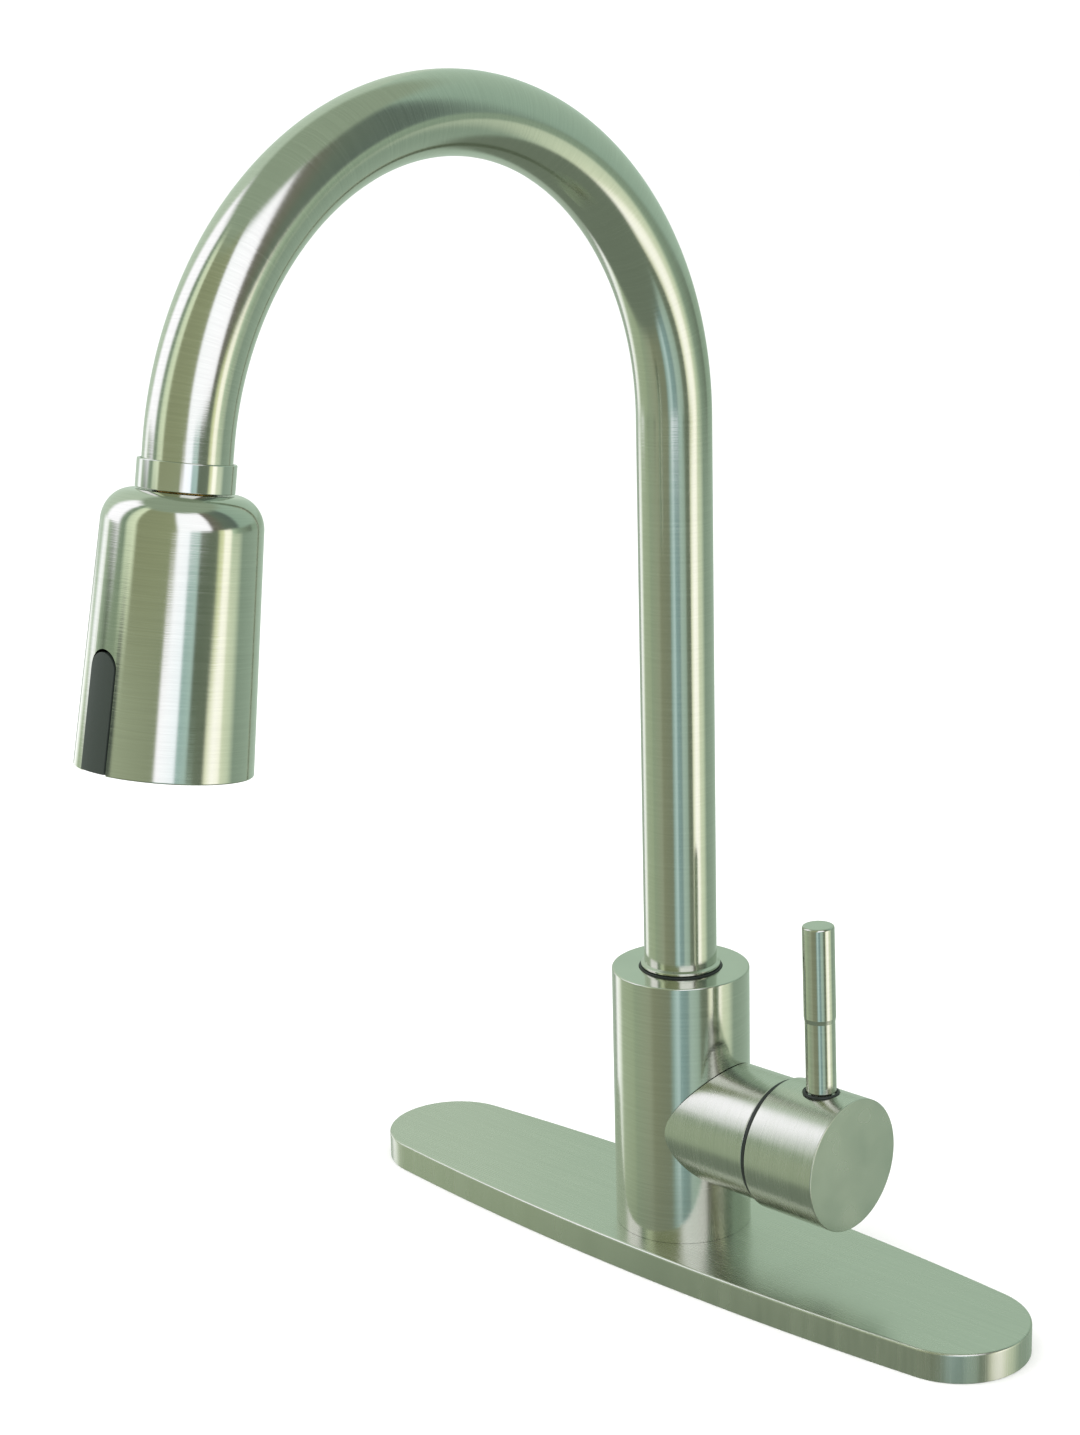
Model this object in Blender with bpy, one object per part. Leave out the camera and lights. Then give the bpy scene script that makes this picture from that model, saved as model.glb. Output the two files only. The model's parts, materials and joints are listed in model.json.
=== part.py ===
"""Pull-down kitchen faucet on a long deck plate, one object for each piece.

All sizes below are in millimetres and become metres as each mesh is made. The origin is the centre of the
deck hole on the deck's surface, +Z is up, the spout reaches towards -Y and the handle is on the +X side.
"""

from math import atan2, cos, pi, radians, sin

import bmesh
import bpy
from mathutils import Matrix, Vector

MM = 0.001
GAP = 0.3  # between pieces that touch

# Deck plate
PLATE_HALF_LENGTH = 130.0
PLATE_HALF_WIDTH = 28.55
PLATE_END_RADIUS = 22.9
PLATE_TOP = 9.3
PLATE_WALL = 1.2
PLATE_EDGE = 0.6
DECK_HOLE_RADIUS = 17.2
GASKET_TOP = 1.0

# Upright body
BODY_RADIUS = 21.85
BODY_WALL = 1.8
BODY_TOP = 95.4
BODY_LID = 2.4
BODY_EDGE = 0.5
CORE_RADIUS = 19.7
CORE_BOTTOM = 12.0
CORE_TOP = 67.0
CORE_SHELF = 22.0  # the shank's counterbore ends here
CORE_BORE = 6.5
SOCKET_LEDGE = 70.2
SOCKET_TOP = BODY_TOP - BODY_LID - GAP
TRIM_RADIUS = 12.55
TRIM_TOP = 95.8
FERRULE_RADIUS = 12.6
FERRULE_TOP = 97.3

# Shank and the tubes inside it
SHANK_RADIUS = 16.5
SHANK_BORE = 14.8
SHANK_BOTTOM = -62.0
STUB_RADIUS = 3.6
STUB_BORE = 2.6
STUB_RING = 10.9  # distance of each tube from the shank's axis
STUB_TOP = 30.0
STUB_BOTTOM = -72.0
WATERWAY_RADIUS = 2.2
DECK_THICKNESS = 25.0
RUBBER_WASHER = (27.0, 3.0)  # radius, thickness
STEEL_WASHER = (26.0, 1.5)
NUT_CORNER = 25.5  # hexagon nut, centre to corner
NUT_HEIGHT = 11.9

# Spout
TUBE_RADIUS = 11.5
TUBE_WALL = 1.2
TUBE_BOTTOM = 67.6
ARCH_START = 270.75
ARCH_RADIUS = 92.68
ARCH_SWEEP = radians(170.2)
TUBE_TAIL = 9.0  # straight run past the arch
COLLAR_RADIUS = 12.6
COLLAR_START = 4.6
COLLAR_END = 12.0
SLEEVE_BORE = 8.0
BUSH_INNER = TUBE_RADIUS + GAP
BUSH_OUTER = 13.0
SOCKET_BORE = 13.3

# Hose
HOSE_RADIUS = 5.75
HOSE_BOTTOM = STUB_BOTTOM
HOSE_START = -6.9  # inside the hose nut
HOSE_NUT_RADIUS = 7.4
HOSE_NUT_START = -18.0
HOSE_NUT_END = -4.2
HOSE_EASE = 18.3  # run in which it bends from the head's axis to the arch
HOSE_SETTLE = 70.0  # run below the arch in which it moves back to the leg's axis
FITTING_RADIUS = 6.3
FITTING_BOTTOM = -88.0

# Valve axis, along X
VALVE_HEIGHT = 46.95
PIVOT_X = 29.0  # the stem's tilt pin
HOUSING_RADIUS = 19.8
HOUSING_BORE = 18.1
HOUSING_END = 41.6
SEAT_X = 16.5
CARTRIDGE_RADIUS = 17.5
CHAMBER_RADIUS = 13.2
NECK_BORE = 9.8
PORT_RADIUS = 2.4
INLET_PORT = (3.05, 9.44)  # height over the valve axis, distance to each side
OUTLET_PORT = (-6.95, 0.0)
STEM_HALF_WIDTH = 3.3
STEM_HALF_HEIGHT = 3.0
STEM_FINGER = 2.2
STEM_END = 61.5
STEM_PIN_RADIUS = 1.2

# Handle
HUB_RADIUS = 20.9
HUB_START = 43.0
HUB_END = 68.9
HUB_CAVITY = 18.8
HUB_FLOOR = 51.0
HUB_RELIEF = 19.5
HUB_SPOTFACE = 20.0  # height of the flat under the lever, over the valve axis
SPOTFACE_RADIUS = 5.9
LEVER_X = 56.7
LEVER_LEAN = radians(-1.5)
LEVER_FOOT = 1.4  # this and the next three are heights over the flat
LEVER_STEP = 24.6
LEVER_TOP = 54.4
STUD_BOTTOM = -8.4
LEVER_FOOT_RADIUS = 4.7
LEVER_RADIUS = 4.85
STUD_RADIUS = 2.9
LEVER_RING = (5.15, 0.5)  # radius of its middle, radius of its section
SET_SCREW_X = 57.0
SET_SCREW_RADIUS = 2.5

# Spray head, measured down its own axis from the end of the arch
HEAD_TOP = 12.3
HEAD_SHOULDER = 21.0
HEAD_BOTTOM = 83.3
HEAD_SHOULDER_RADIUS = 20.6
HEAD_BOTTOM_RADIUS = 22.93
HEAD_FLAT_RADIUS = 12.9  # where the rounded shoulder starts
HEAD_WALL = 1.2
HEAD_MOUTH = 7.8
NECK_RADIUS = 7.3
SLOT_TOP = 52.0
SLOT_HALF_WIDTH = 5.0
ROCKER_TOP = 52.8
ROCKER_BOTTOM = 82.9
ROCKER_HALF_WIDTH = 4.6
ROCKER_BACK = 17.6
ROCKER_PIVOT_DEPTH = 15.0
ROCKER_PIVOT_DOWN = 68.0
ROCKER_PROUD = 0.25
PIN_HOLE_RADIUS = 1.3
LUG_DEPTH = 13.2
SPOOL_DOWN = 57.0
SPOOL_RADIUS = 2.5
CORE_POCKET_DEPTH = 12.6
NOZZLE_TOP = 77.6
NOZZLE_BOTTOM = 82.2

# Facets of a full turn
FINE = 32
MEDIUM = 20
COARSE = 12

FINISHES = {
    # name: (colour, metallic, roughness)
    "brushed_nickel": ((0.50, 0.52, 0.46), 1.0, 0.30),
    "polished_nickel": ((0.62, 0.64, 0.58), 1.0, 0.12),
    "brass": ((0.62, 0.45, 0.20), 1.0, 0.35),
    "stainless_steel": ((0.55, 0.55, 0.53), 1.0, 0.35),
    "black_rubber": ((0.02, 0.02, 0.02), 0.0, 0.70),
    "black_plastic": ((0.04, 0.05, 0.045), 0.0, 0.45),
    "grey_plastic": ((0.35, 0.36, 0.36), 0.0, 0.50),
    "white_plastic": ((0.75, 0.75, 0.72), 0.0, 0.45),
    "ceramic": ((0.85, 0.83, 0.78), 0.0, 0.25),
    "nylon_braid": ((0.25, 0.26, 0.26), 0.0, 0.65),
    "copper": ((0.72, 0.38, 0.22), 1.0, 0.35),
}


def clear_scene():
    for thing in list(bpy.data.objects):
        bpy.data.objects.remove(thing)


def finish_named(name):
    """The material of that name, made the first time it is asked for."""
    material = bpy.data.materials.get(name)
    if material is None:
        colour, metallic, roughness = FINISHES[name]
        material = bpy.data.materials.new(name)
        material.use_nodes = True
        shader = material.node_tree.nodes["Principled BSDF"]
        shader.inputs["Base Color"].default_value = (*colour, 1.0)
        shader.inputs["Metallic"].default_value = metallic
        shader.inputs["Roughness"].default_value = roughness
    return material


def anchor(name, location, turn=(0, 0, 0), parent=None):
    """Empty on an axis that pieces are built around."""
    empty = bpy.data.objects.new(name, None)
    empty.location = Vector(location) * MM
    empty.rotation_euler = turn
    empty.parent = parent
    bpy.context.collection.objects.link(empty)
    return empty


def finished(name, shape, finish, parent):
    """Object from a bmesh with outward faces; a piece without a finish is a hidden cutter."""
    bmesh.ops.recalc_face_normals(shape, faces=shape.faces)
    mesh = bpy.data.meshes.new(name)
    shape.to_mesh(mesh)
    shape.free()
    piece = bpy.data.objects.new(name, mesh)
    piece.parent = parent
    bpy.context.collection.objects.link(piece)
    if finish is None:
        piece.hide_render = True
        piece.display_type = "WIRE"
    else:
        mesh.materials.append(finish_named(finish))
        mesh.shade_smooth()
        mesh.set_sharp_from_angle(angle=radians(35))
    return piece


def turned(name, profile, finish=None, parent=None, sides=MEDIUM, shift=0.0):
    """Solid of revolution about the parent's Z axis from a closed outline of (radius, height) points."""
    shape = bmesh.new()
    points = [shape.verts.new((radius * MM, 0, (height + shift) * MM)) for radius, height in profile]
    pairs = zip(points, points[1:] + points[:1])
    edges = [shape.edges.new(pair) for pair in pairs if max(pair[0].co.x, pair[1].co.x) > 0]
    bmesh.ops.spin(
        shape, geom=points + edges, axis=(0, 0, 1), cent=(0, 0, 0), angle=2 * pi, steps=sides, use_merge=True
    )
    bmesh.ops.remove_doubles(shape, verts=shape.verts, dist=1e-7)
    return finished(name, shape, finish, parent)


def ring(name, inner, outer, low, high, finish, parent=None, sides=MEDIUM, shift=0.0):
    profile = ((inner, low), (outer, low), (outer, high), (inner, high))
    return turned(name, profile, finish, parent, sides, shift)


def o_ring(name, radius, height, section, finish, parent=None):
    """Rubber ring of round section, with its middle at that radius and height."""
    angles = [pi / 3 * step for step in range(6)]
    profile = [(radius + section * cos(angle), height + section * sin(angle)) for angle in angles]
    return turned(name, profile, finish, parent)


def prism(name, outline, low, high, finish=None, parent=None, edge=0.0):
    """Outline in the parent's XY plane raised from low to high, with its top edge bevelled by edge."""
    shape = bmesh.new()
    base = shape.faces.new([shape.verts.new((x * MM, y * MM, low * MM)) for x, y in outline])
    raised = bmesh.ops.extrude_face_region(shape, geom=[base])["geom"]
    lifted = [item for item in raised if isinstance(item, bmesh.types.BMVert)]
    bmesh.ops.translate(shape, verts=lifted, vec=(0, 0, (high - low) * MM))
    if edge:
        top = [item for item in raised if isinstance(item, bmesh.types.BMEdge)]
        bmesh.ops.bevel(
            shape, geom=top, offset=edge * MM, affect="EDGES", segments=1, profile=0.5, material=-1
        )
    return finished(name, shape, finish, parent)


def block(name, low, high, finish=None, parent=None):
    """Box between two corners."""
    low, high = Vector(low), Vector(high)
    outline = ((low.x, low.y), (high.x, low.y), (high.x, high.y), (low.x, high.y))
    return prism(name, outline, low.z, high.z, finish, parent)


def rod(name, radius, start, end, finish=None, parent=None, sides=COARSE):
    """Cylinder between two points."""
    start, end = Vector(start) * MM, Vector(end) * MM
    turn = Vector((0, 0, 1)).rotation_difference(end - start).to_matrix().to_4x4()
    shape = bmesh.new()
    bmesh.ops.create_cone(
        shape,
        cap_ends=True,
        segments=sides,
        radius1=radius * MM,
        radius2=radius * MM,
        depth=(end - start).length,
        matrix=Matrix.Translation((start + end) / 2) @ turn,
    )
    return finished(name, shape, finish, parent)


def combine(piece, tool, operation="DIFFERENCE"):
    modifier = piece.modifiers.new(tool.name, "BOOLEAN")
    modifier.object = tool
    modifier.operation = operation
    modifier.solver = "EXACT"


def plate_outline(inset):
    """Deck plate's outline, moved inwards by inset: two round ends and two shallow side arcs tangent to them."""
    run = PLATE_HALF_LENGTH - PLATE_END_RADIUS
    rise = PLATE_HALF_WIDTH - PLATE_END_RADIUS
    side_radius = (run**2 + PLATE_HALF_WIDTH**2 - PLATE_END_RADIUS**2) / (2 * rise)
    drop = side_radius - PLATE_HALF_WIDTH
    tangent = atan2(drop, run)
    arcs = (
        (run, 0, PLATE_END_RADIUS, -tangent, tangent, 12),
        (0, -drop, side_radius, tangent, pi - tangent, 6),
        (-run, 0, PLATE_END_RADIUS, pi - tangent, pi + tangent, 12),
        (0, drop, side_radius, pi + tangent, 2 * pi - tangent, 6),
    )
    points = []
    for x, y, radius, start, end, steps in arcs:
        for step in range(steps):
            angle = start + (end - start) * step / steps
            points.append((x + (radius - inset) * cos(angle), y + (radius - inset) * sin(angle)))
    return points


def make_deck_plate():
    plate = prism("deck_plate", plate_outline(0), 0, PLATE_TOP, "brushed_nickel", edge=PLATE_EDGE)
    combine(plate, prism("plate_hollow", plate_outline(PLATE_WALL), -1, PLATE_TOP - PLATE_WALL))
    insert_top = PLATE_TOP - PLATE_WALL - GAP
    insert = prism(
        "deck_plate_insert", plate_outline(PLATE_WALL + GAP), GASKET_TOP + GAP, insert_top, "grey_plastic"
    )
    gasket = prism("deck_gasket", plate_outline(PLATE_WALL + GAP), 0, GASKET_TOP, "black_rubber")
    hole = rod("deck_hole", DECK_HOLE_RADIUS, (0, 0, -5), (0, 0, 20), sides=FINE)
    for piece in (plate, insert, gasket):
        combine(piece, hole)


def make_body():
    bottom = PLATE_TOP + GAP
    inner = BODY_RADIUS - BODY_WALL
    hole = TRIM_RADIUS + GAP
    shell = turned(
        "body_shell",
        (
            (inner, bottom),
            (BODY_RADIUS, bottom),
            (BODY_RADIUS, BODY_TOP - BODY_EDGE),
            (BODY_RADIUS - BODY_EDGE, BODY_TOP),
            (hole, BODY_TOP),
            (hole, BODY_TOP - BODY_LID),
            (inner, BODY_TOP - BODY_LID),
        ),
        "brushed_nickel",
        sides=FINE,
    )
    window = rod("body_window", HOUSING_BORE, (4, 0, VALVE_HEIGHT), (30, 0, VALVE_HEIGHT), sides=FINE)
    combine(shell, window)
    ring("base_seal", DECK_HOLE_RADIUS, CORE_RADIUS, bottom, CORE_BOTTOM - GAP, "black_rubber")
    ring("trim_ring", BUSH_INNER, TRIM_RADIUS, SOCKET_TOP + 2 * GAP, TRIM_TOP, "black_rubber", sides=FINE)


def make_ferrule(axis):
    """Ring on the tube that covers the seal where the spout leaves the body."""
    bottom = TRIM_TOP + GAP
    profile = (
        (BUSH_INNER, bottom),
        (FERRULE_RADIUS, bottom),
        (FERRULE_RADIUS, bottom + 0.4),
        (BUSH_INNER + 0.2, FERRULE_TOP),
        (BUSH_INNER, FERRULE_TOP),
    )
    turned("spout_ferrule", profile, "brushed_nickel", axis, sides=FINE)


def stub_centre(degrees):
    return STUB_RING * cos(radians(degrees)), STUB_RING * sin(radians(degrees))


def make_valve_core():
    """Brass body with the cartridge's seat, three sockets for the tubes and a water way from each to the seat."""
    core = turned(
        "valve_core",
        (
            (CORE_BORE, CORE_SHELF),
            (SHANK_RADIUS + GAP, CORE_SHELF),
            (SHANK_RADIUS + GAP, CORE_BOTTOM),
            (CORE_RADIUS, CORE_BOTTOM),
            (CORE_RADIUS, CORE_TOP),
            (CORE_BORE, CORE_TOP),
        ),
        "brass",
        sides=FINE,
    )
    seat = (SEAT_X, 0, VALVE_HEIGHT), (30, 0, VALVE_HEIGHT)
    combine(core, rod("cartridge_seat", CARTRIDGE_RADIUS + GAP, *seat, sides=FINE))
    ports = {"mixed": (0, OUTLET_PORT), "hot": (240, INLET_PORT), "cold": (120, INLET_PORT)}
    for name, (degrees, (rise, _)) in ports.items():
        x, y = stub_centre(degrees)
        port = VALVE_HEIGHT + rise
        socket_top = STUB_TOP + 2 * GAP
        combine(core, rod(f"{name}_socket", STUB_RADIUS + GAP, (x, y, 20), (x, y, socket_top)))
        combine(core, rod(f"{name}_riser", WATERWAY_RADIUS, (x, y, 25), (x, y, port + 1)))
        combine(core, rod(f"{name}_way", WATERWAY_RADIUS, (x, y, port), (SEAT_X + 2, y, port)))


def make_shank_and_tubes():
    ring("shank", SHANK_BORE, SHANK_RADIUS, SHANK_BOTTOM, CORE_SHELF - GAP, "brass", sides=FINE)
    tubes = (("mixed_outlet", 0), ("hot_inlet", 240), ("cold_inlet", 120))
    for name, degrees in tubes:
        x, y = stub_centre(degrees)
        axis = anchor(name + "_axis", (x, y, 0))
        ring(name, STUB_BORE, STUB_RADIUS, STUB_BOTTOM, STUB_TOP, "copper", axis, sides=COARSE)


def make_clamp(axis):
    """Washers and nut that pull the faucet down on the deck."""
    inner = SHANK_RADIUS + GAP
    top = -DECK_THICKNESS
    for name, (radius, thickness), finish in (
        ("rubber_washer", RUBBER_WASHER, "black_rubber"),
        ("steel_washer", STEEL_WASHER, "stainless_steel"),
    ):
        ring(name, inner, radius, top - thickness, top, finish, axis)
        top -= thickness + GAP
    corners = [(NUT_CORNER * cos(pi * step / 3), NUT_CORNER * sin(pi * step / 3)) for step in range(6)]
    nut = prism("mounting_nut", corners, top - NUT_HEIGHT, top, "brass", axis, edge=0.8)
    bore = (0, 0, top - NUT_HEIGHT - 1), (0, 0, top + 1)
    combine(nut, rod("nut_bore", inner, *bore, parent=axis, sides=MEDIUM))


def make_socket():
    """Brass socket, bushes and seals that the spout turns in."""
    turned(
        "spout_socket",
        (
            (15.2, CORE_TOP + GAP),
            (CORE_RADIUS, CORE_TOP + GAP),
            (CORE_RADIUS, SOCKET_TOP),
            (SOCKET_BORE, SOCKET_TOP),
            (SOCKET_BORE, SOCKET_LEDGE),
            (15.2, SOCKET_LEDGE),
        ),
        "brass",
    )
    ring("lower_bush", BUSH_INNER, BUSH_OUTER, 70.6, 75.0, "white_plastic")
    ring("upper_bush", BUSH_INNER, BUSH_OUTER, 85.0, SOCKET_TOP - GAP, "white_plastic")
    middle = (BUSH_INNER + BUSH_OUTER) / 2
    section = (BUSH_OUTER - BUSH_INNER) / 2
    o_ring("lower_spout_seal", middle, 76.6, section, "black_rubber")
    o_ring("upper_spout_seal", middle, 80.2, section, "black_rubber")


def arch_end():
    return Vector((0, -ARCH_RADIUS * (1 - cos(ARCH_SWEEP)), ARCH_START + ARCH_RADIUS * sin(ARCH_SWEEP)))


def drawn(shape, edges, run):
    """Extrudes open edges along a vector in millimetres."""
    made = bmesh.ops.extrude_edge_only(shape, edges=edges)["geom"]
    moved = [item for item in made if isinstance(item, bmesh.types.BMVert)]
    bmesh.ops.translate(shape, verts=moved, vec=Vector(run) * MM)


def make_spout_tube(axis):
    """Gooseneck: a circle drawn down the leg, spun through the arch and on into the tail, then given its wall."""
    shape = bmesh.new()
    middle = Matrix.Translation((0, 0, ARCH_START * MM))
    circle = bmesh.ops.create_circle(shape, segments=MEDIUM, radius=TUBE_RADIUS * MM, matrix=middle)["verts"]
    edges = list(shape.edges)
    drawn(shape, edges, (0, 0, TUBE_BOTTOM - ARCH_START))
    arch = bmesh.ops.spin(
        shape,
        geom=circle + edges,
        cent=(0, -ARCH_RADIUS * MM, ARCH_START * MM),
        axis=(1, 0, 0),
        angle=ARCH_SWEEP,
        steps=20,
    )["geom_last"]
    last = [item for item in arch if isinstance(item, bmesh.types.BMEdge)]
    drawn(shape, last, Vector((0, -sin(ARCH_SWEEP), cos(ARCH_SWEEP))) * TUBE_TAIL)
    bmesh.ops.recalc_face_normals(shape, faces=shape.faces)
    bmesh.ops.solidify(shape, geom=shape.faces[:], thickness=TUBE_WALL * MM)
    finished("spout_tube", shape, "brushed_nickel", axis)


def down(points):
    """Outline points given as (radius, distance down the head's axis), as (radius, height)."""
    return [(radius, -distance) for radius, distance in points]


def make_dock(axis, head):
    """Pieces at the spout's two ends: the ring that holds it down, and the collar that the spray head docks in."""
    ring("retaining_ring", BUSH_INNER, 14.9, 68.2, 69.9, "stainless_steel", axis)
    lip = TUBE_TAIL + GAP
    turned(
        "docking_collar",
        down(
            (
                (BUSH_INNER, COLLAR_START),
                (COLLAR_RADIUS, COLLAR_START),
                (COLLAR_RADIUS, COLLAR_END),
                (SLEEVE_BORE + GAP, COLLAR_END),
                (SLEEVE_BORE + GAP, lip),
                (BUSH_INNER, lip),
            )
        ),
        "polished_nickel",
        head,
        sides=FINE,
    )
    sleeve = down(((SLEEVE_BORE, -2), (9.9, -2), (9.9, TUBE_TAIL), (SLEEVE_BORE, TUBE_TAIL)))
    turned("dock_sleeve", sleeve, "black_plastic", head)


def hose_offset(run):
    """How far the hose lies outside the tube's centreline, a run back from the end of the arch.

    It leaves the spray head straight, so it drifts outwards along the arch's curve, and bends back as evenly.
    """
    most = HOSE_EASE**2 / ARCH_RADIUS
    arch = ARCH_RADIUS * ARCH_SWEEP
    if run <= HOSE_EASE:
        return run**2 / (2 * ARCH_RADIUS)
    if run <= 2 * HOSE_EASE:
        return most - (2 * HOSE_EASE - run) ** 2 / (2 * ARCH_RADIUS)
    if run <= arch:
        return most
    part = min((run - arch) / HOSE_SETTLE, 1.0)
    return most * (1 - part * part * (3 - 2 * part))


def hose_point(run):
    """Point of the hose's centreline, a run back from the end of the arch."""
    arch = ARCH_RADIUS * ARCH_SWEEP
    if run < 0:
        return arch_end() + Vector((0, -sin(ARCH_SWEEP), cos(ARCH_SWEEP))) * -run
    if run > arch:
        return Vector((0, hose_offset(run), ARCH_START - (run - arch)))
    angle = ARCH_SWEEP - run / ARCH_RADIUS
    radius = ARCH_RADIUS + hose_offset(run)
    return Vector((0, -ARCH_RADIUS + radius * cos(angle), ARCH_START + radius * sin(angle)))


def make_hose(axis):
    """Spray hose, as it lies inside the spout, the body and the shank."""
    arch = ARCH_RADIUS * ARCH_SWEEP
    eased = 2 * HOSE_EASE
    stretches = ((-HOSE_START, eased, 3), (eased, arch, 18), (arch, arch + HOSE_SETTLE, 4))
    runs = [low + (high - low) * step / count for low, high, count in stretches for step in range(count)]
    points = [hose_point(run) for run in runs]
    points += [Vector((0, 0, height)) for height in (ARCH_START - HOSE_SETTLE, 60, HOSE_BOTTOM)]
    curve = bpy.data.curves.new("spray_hose", "CURVE")
    curve.dimensions = "3D"
    curve.bevel_depth = HOSE_RADIUS * MM
    curve.bevel_resolution = 2
    curve.use_fill_caps = True
    spline = curve.splines.new("POLY")
    spline.points.add(len(points) - 1)
    for spot, point in zip(spline.points, points):
        spot.co = (*(point * MM), 1.0)
    curve.materials.append(finish_named("nylon_braid"))
    hose = bpy.data.objects.new("spray_hose", curve)
    hose.parent = axis
    bpy.context.collection.objects.link(hose)


def make_hose_ends(axis, head):
    top, spigot = HOSE_BOTTOM - 0.5, 4.4
    step = FITTING_BOTTOM + 8
    fitting = (
        (0, FITTING_BOTTOM),
        (spigot, FITTING_BOTTOM),
        (spigot, step),
        (FITTING_RADIUS, step),
        (FITTING_RADIUS, top),
        (0, top),
    )
    turned("hose_end_fitting", fitting, "brass", axis)
    cap = HOSE_START + GAP + 0.1
    bore = HOSE_RADIUS + 0.4
    nut = (
        (bore, HOSE_NUT_START),
        (HOSE_NUT_RADIUS, HOSE_NUT_START),
        (HOSE_NUT_RADIUS, HOSE_NUT_END),
        (3, HOSE_NUT_END),
        (3, cap),
        (bore, cap),
    )
    turned("hose_nut", down(nut), "brass", head)


def head_radius(distance):
    """Outside radius of the spray head's cone, a distance down its axis."""
    taper = (HEAD_BOTTOM_RADIUS - HEAD_SHOULDER_RADIUS) / (HEAD_BOTTOM - HEAD_SHOULDER)
    return HEAD_SHOULDER_RADIUS + taper * (distance - HEAD_SHOULDER)


def shoulder(wall, steps=6):
    """Rounded shoulder of the spray head, moved inwards by wall, from its flat top to its cone."""
    across = HEAD_SHOULDER_RADIUS - HEAD_FLAT_RADIUS - wall
    drop = HEAD_SHOULDER - HEAD_TOP - wall
    angles = [pi / 2 * step / steps for step in range(steps + 1)]
    return [(HEAD_FLAT_RADIUS + across * sin(a), HEAD_SHOULDER - drop * cos(a)) for a in angles]


def slot_outline(half_width, top):
    """Outline of the rocker's slot, across and up the head's face, round at its top and open at the bottom."""
    middle = top + half_width
    angles = [pi * step / 10 for step in range(11)]
    arc = [(half_width * cos(a), -middle + half_width * sin(a)) for a in angles]
    return [*arc, (-half_width, -90), (half_width, -90)]


def facing_front(name, outline, near, far, parent, finish=None):
    """Prism on the head's front: an outline across X and up Z, from depth near to far along -Y."""
    piece = prism(name, outline, near, far, finish, parent)
    piece.rotation_euler = (radians(90), 0, 0)
    return piece


def make_spray_shell(head):
    edge = 0.4
    outer = [*shoulder(0), (head_radius(HEAD_BOTTOM - edge), HEAD_BOTTOM - edge)]
    rim = [(HEAD_BOTTOM_RADIUS - edge, HEAD_BOTTOM), (HEAD_BOTTOM_RADIUS - HEAD_WALL, HEAD_BOTTOM)]
    inner = [*reversed(shoulder(HEAD_WALL)), (HEAD_MOUTH, HEAD_TOP + HEAD_WALL), (HEAD_MOUTH, HEAD_TOP)]
    shell = turned("spray_shell", down([*outer, *rim, *inner]), "brushed_nickel", head, sides=FINE)
    combine(shell, facing_front("shell_slot", slot_outline(SLOT_HALF_WIDTH, SLOT_TOP), 10, 30, head))


def make_spray_core(head):
    """Plastic water chamber inside the shell, with a pocket for the rocker and a bore for the spool."""
    side = HEAD_WALL + 0.4
    core = turned(
        "spray_core",
        down(
            (
                (NECK_RADIUS + GAP, 22),
                (16.5, 22),
                (head_radius(24.5) - side, 24.5),
                (head_radius(NOZZLE_TOP) - side, NOZZLE_TOP - GAP),
                (3, NOZZLE_TOP - GAP),
                (3, 70),
                (6, 70),
                (6, 29),
                (NECK_RADIUS + GAP, 29),
            )
        ),
        "black_plastic",
        head,
    )
    low = (-SLOT_HALF_WIDTH - 0.4, -30, -80)
    high = (SLOT_HALF_WIDTH + 0.4, -CORE_POCKET_DEPTH, 1 - SLOT_TOP)
    combine(core, block("rocker_pocket", low, high, parent=head))
    pin_y, pin_z = -ROCKER_PIVOT_DEPTH, -ROCKER_PIVOT_DOWN
    combine(core, rod("pin_holes", PIN_HOLE_RADIUS, (-9, pin_y, pin_z), (9, pin_y, pin_z), parent=head))
    rod("rocker_pin", 1.0, (-8.6, pin_y, pin_z), (8.6, pin_y, pin_z), "stainless_steel", head)
    bore = (0, -14, -SPOOL_DOWN), (0, -4, -SPOOL_DOWN)
    combine(core, rod("spool_bore", SPOOL_RADIUS + GAP, *bore, parent=head))
    spool = (0, -16.9, -SPOOL_DOWN), (0, -4.5, -SPOOL_DOWN)
    rod("diverter_spool", SPOOL_RADIUS, *spool, "white_plastic", head)


def make_spray_neck(head):
    neck = (
        (4.6, -3.6),
        (NECK_RADIUS, -3.6),
        (NECK_RADIUS, 15),
        (11, 15),
        (11, 17),
        (NECK_RADIUS, 17),
        (NECK_RADIUS, 28.5),
        (4.6, 28.5),
    )
    turned("spray_neck", down(neck), "brass", head)
    valve = ((1.8, 4), (4.2, 4), (4.2, 16), (1.8, 16))
    turned("check_valve", down(valve), "white_plastic", head, sides=COARSE)
    o_ring("neck_seal", 8.6, -19.4, 0.9, "black_rubber", head)


def make_nozzles(head):
    plate = ((9.8, NOZZLE_TOP), (21.2, NOZZLE_TOP), (21.2, NOZZLE_BOTTOM), (9.8, NOZZLE_BOTTOM))
    nozzle_plate = turned("nozzle_plate", down(plate), "black_plastic", head, sides=FINE)
    notch = block("rocker_notch", (-5.4, -30, -90), (5.4, -15.5, -70), parent=head)
    combine(nozzle_plate, notch)
    face = NOZZLE_BOTTOM + GAP
    nozzles = ((11.3, face), (15.0, face), (15.0, face + 0.6), (11.3, face + 0.6))
    turned("nozzle_ring", down(nozzles), "grey_plastic", head)
    aerator = ((0, 78.5), (9.4, 78.5), (9.4, 83.0), (8.2, 83.0), (8.2, 82.0), (0, 82.0))
    turned("aerator", down(aerator), "white_plastic", head)


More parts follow.
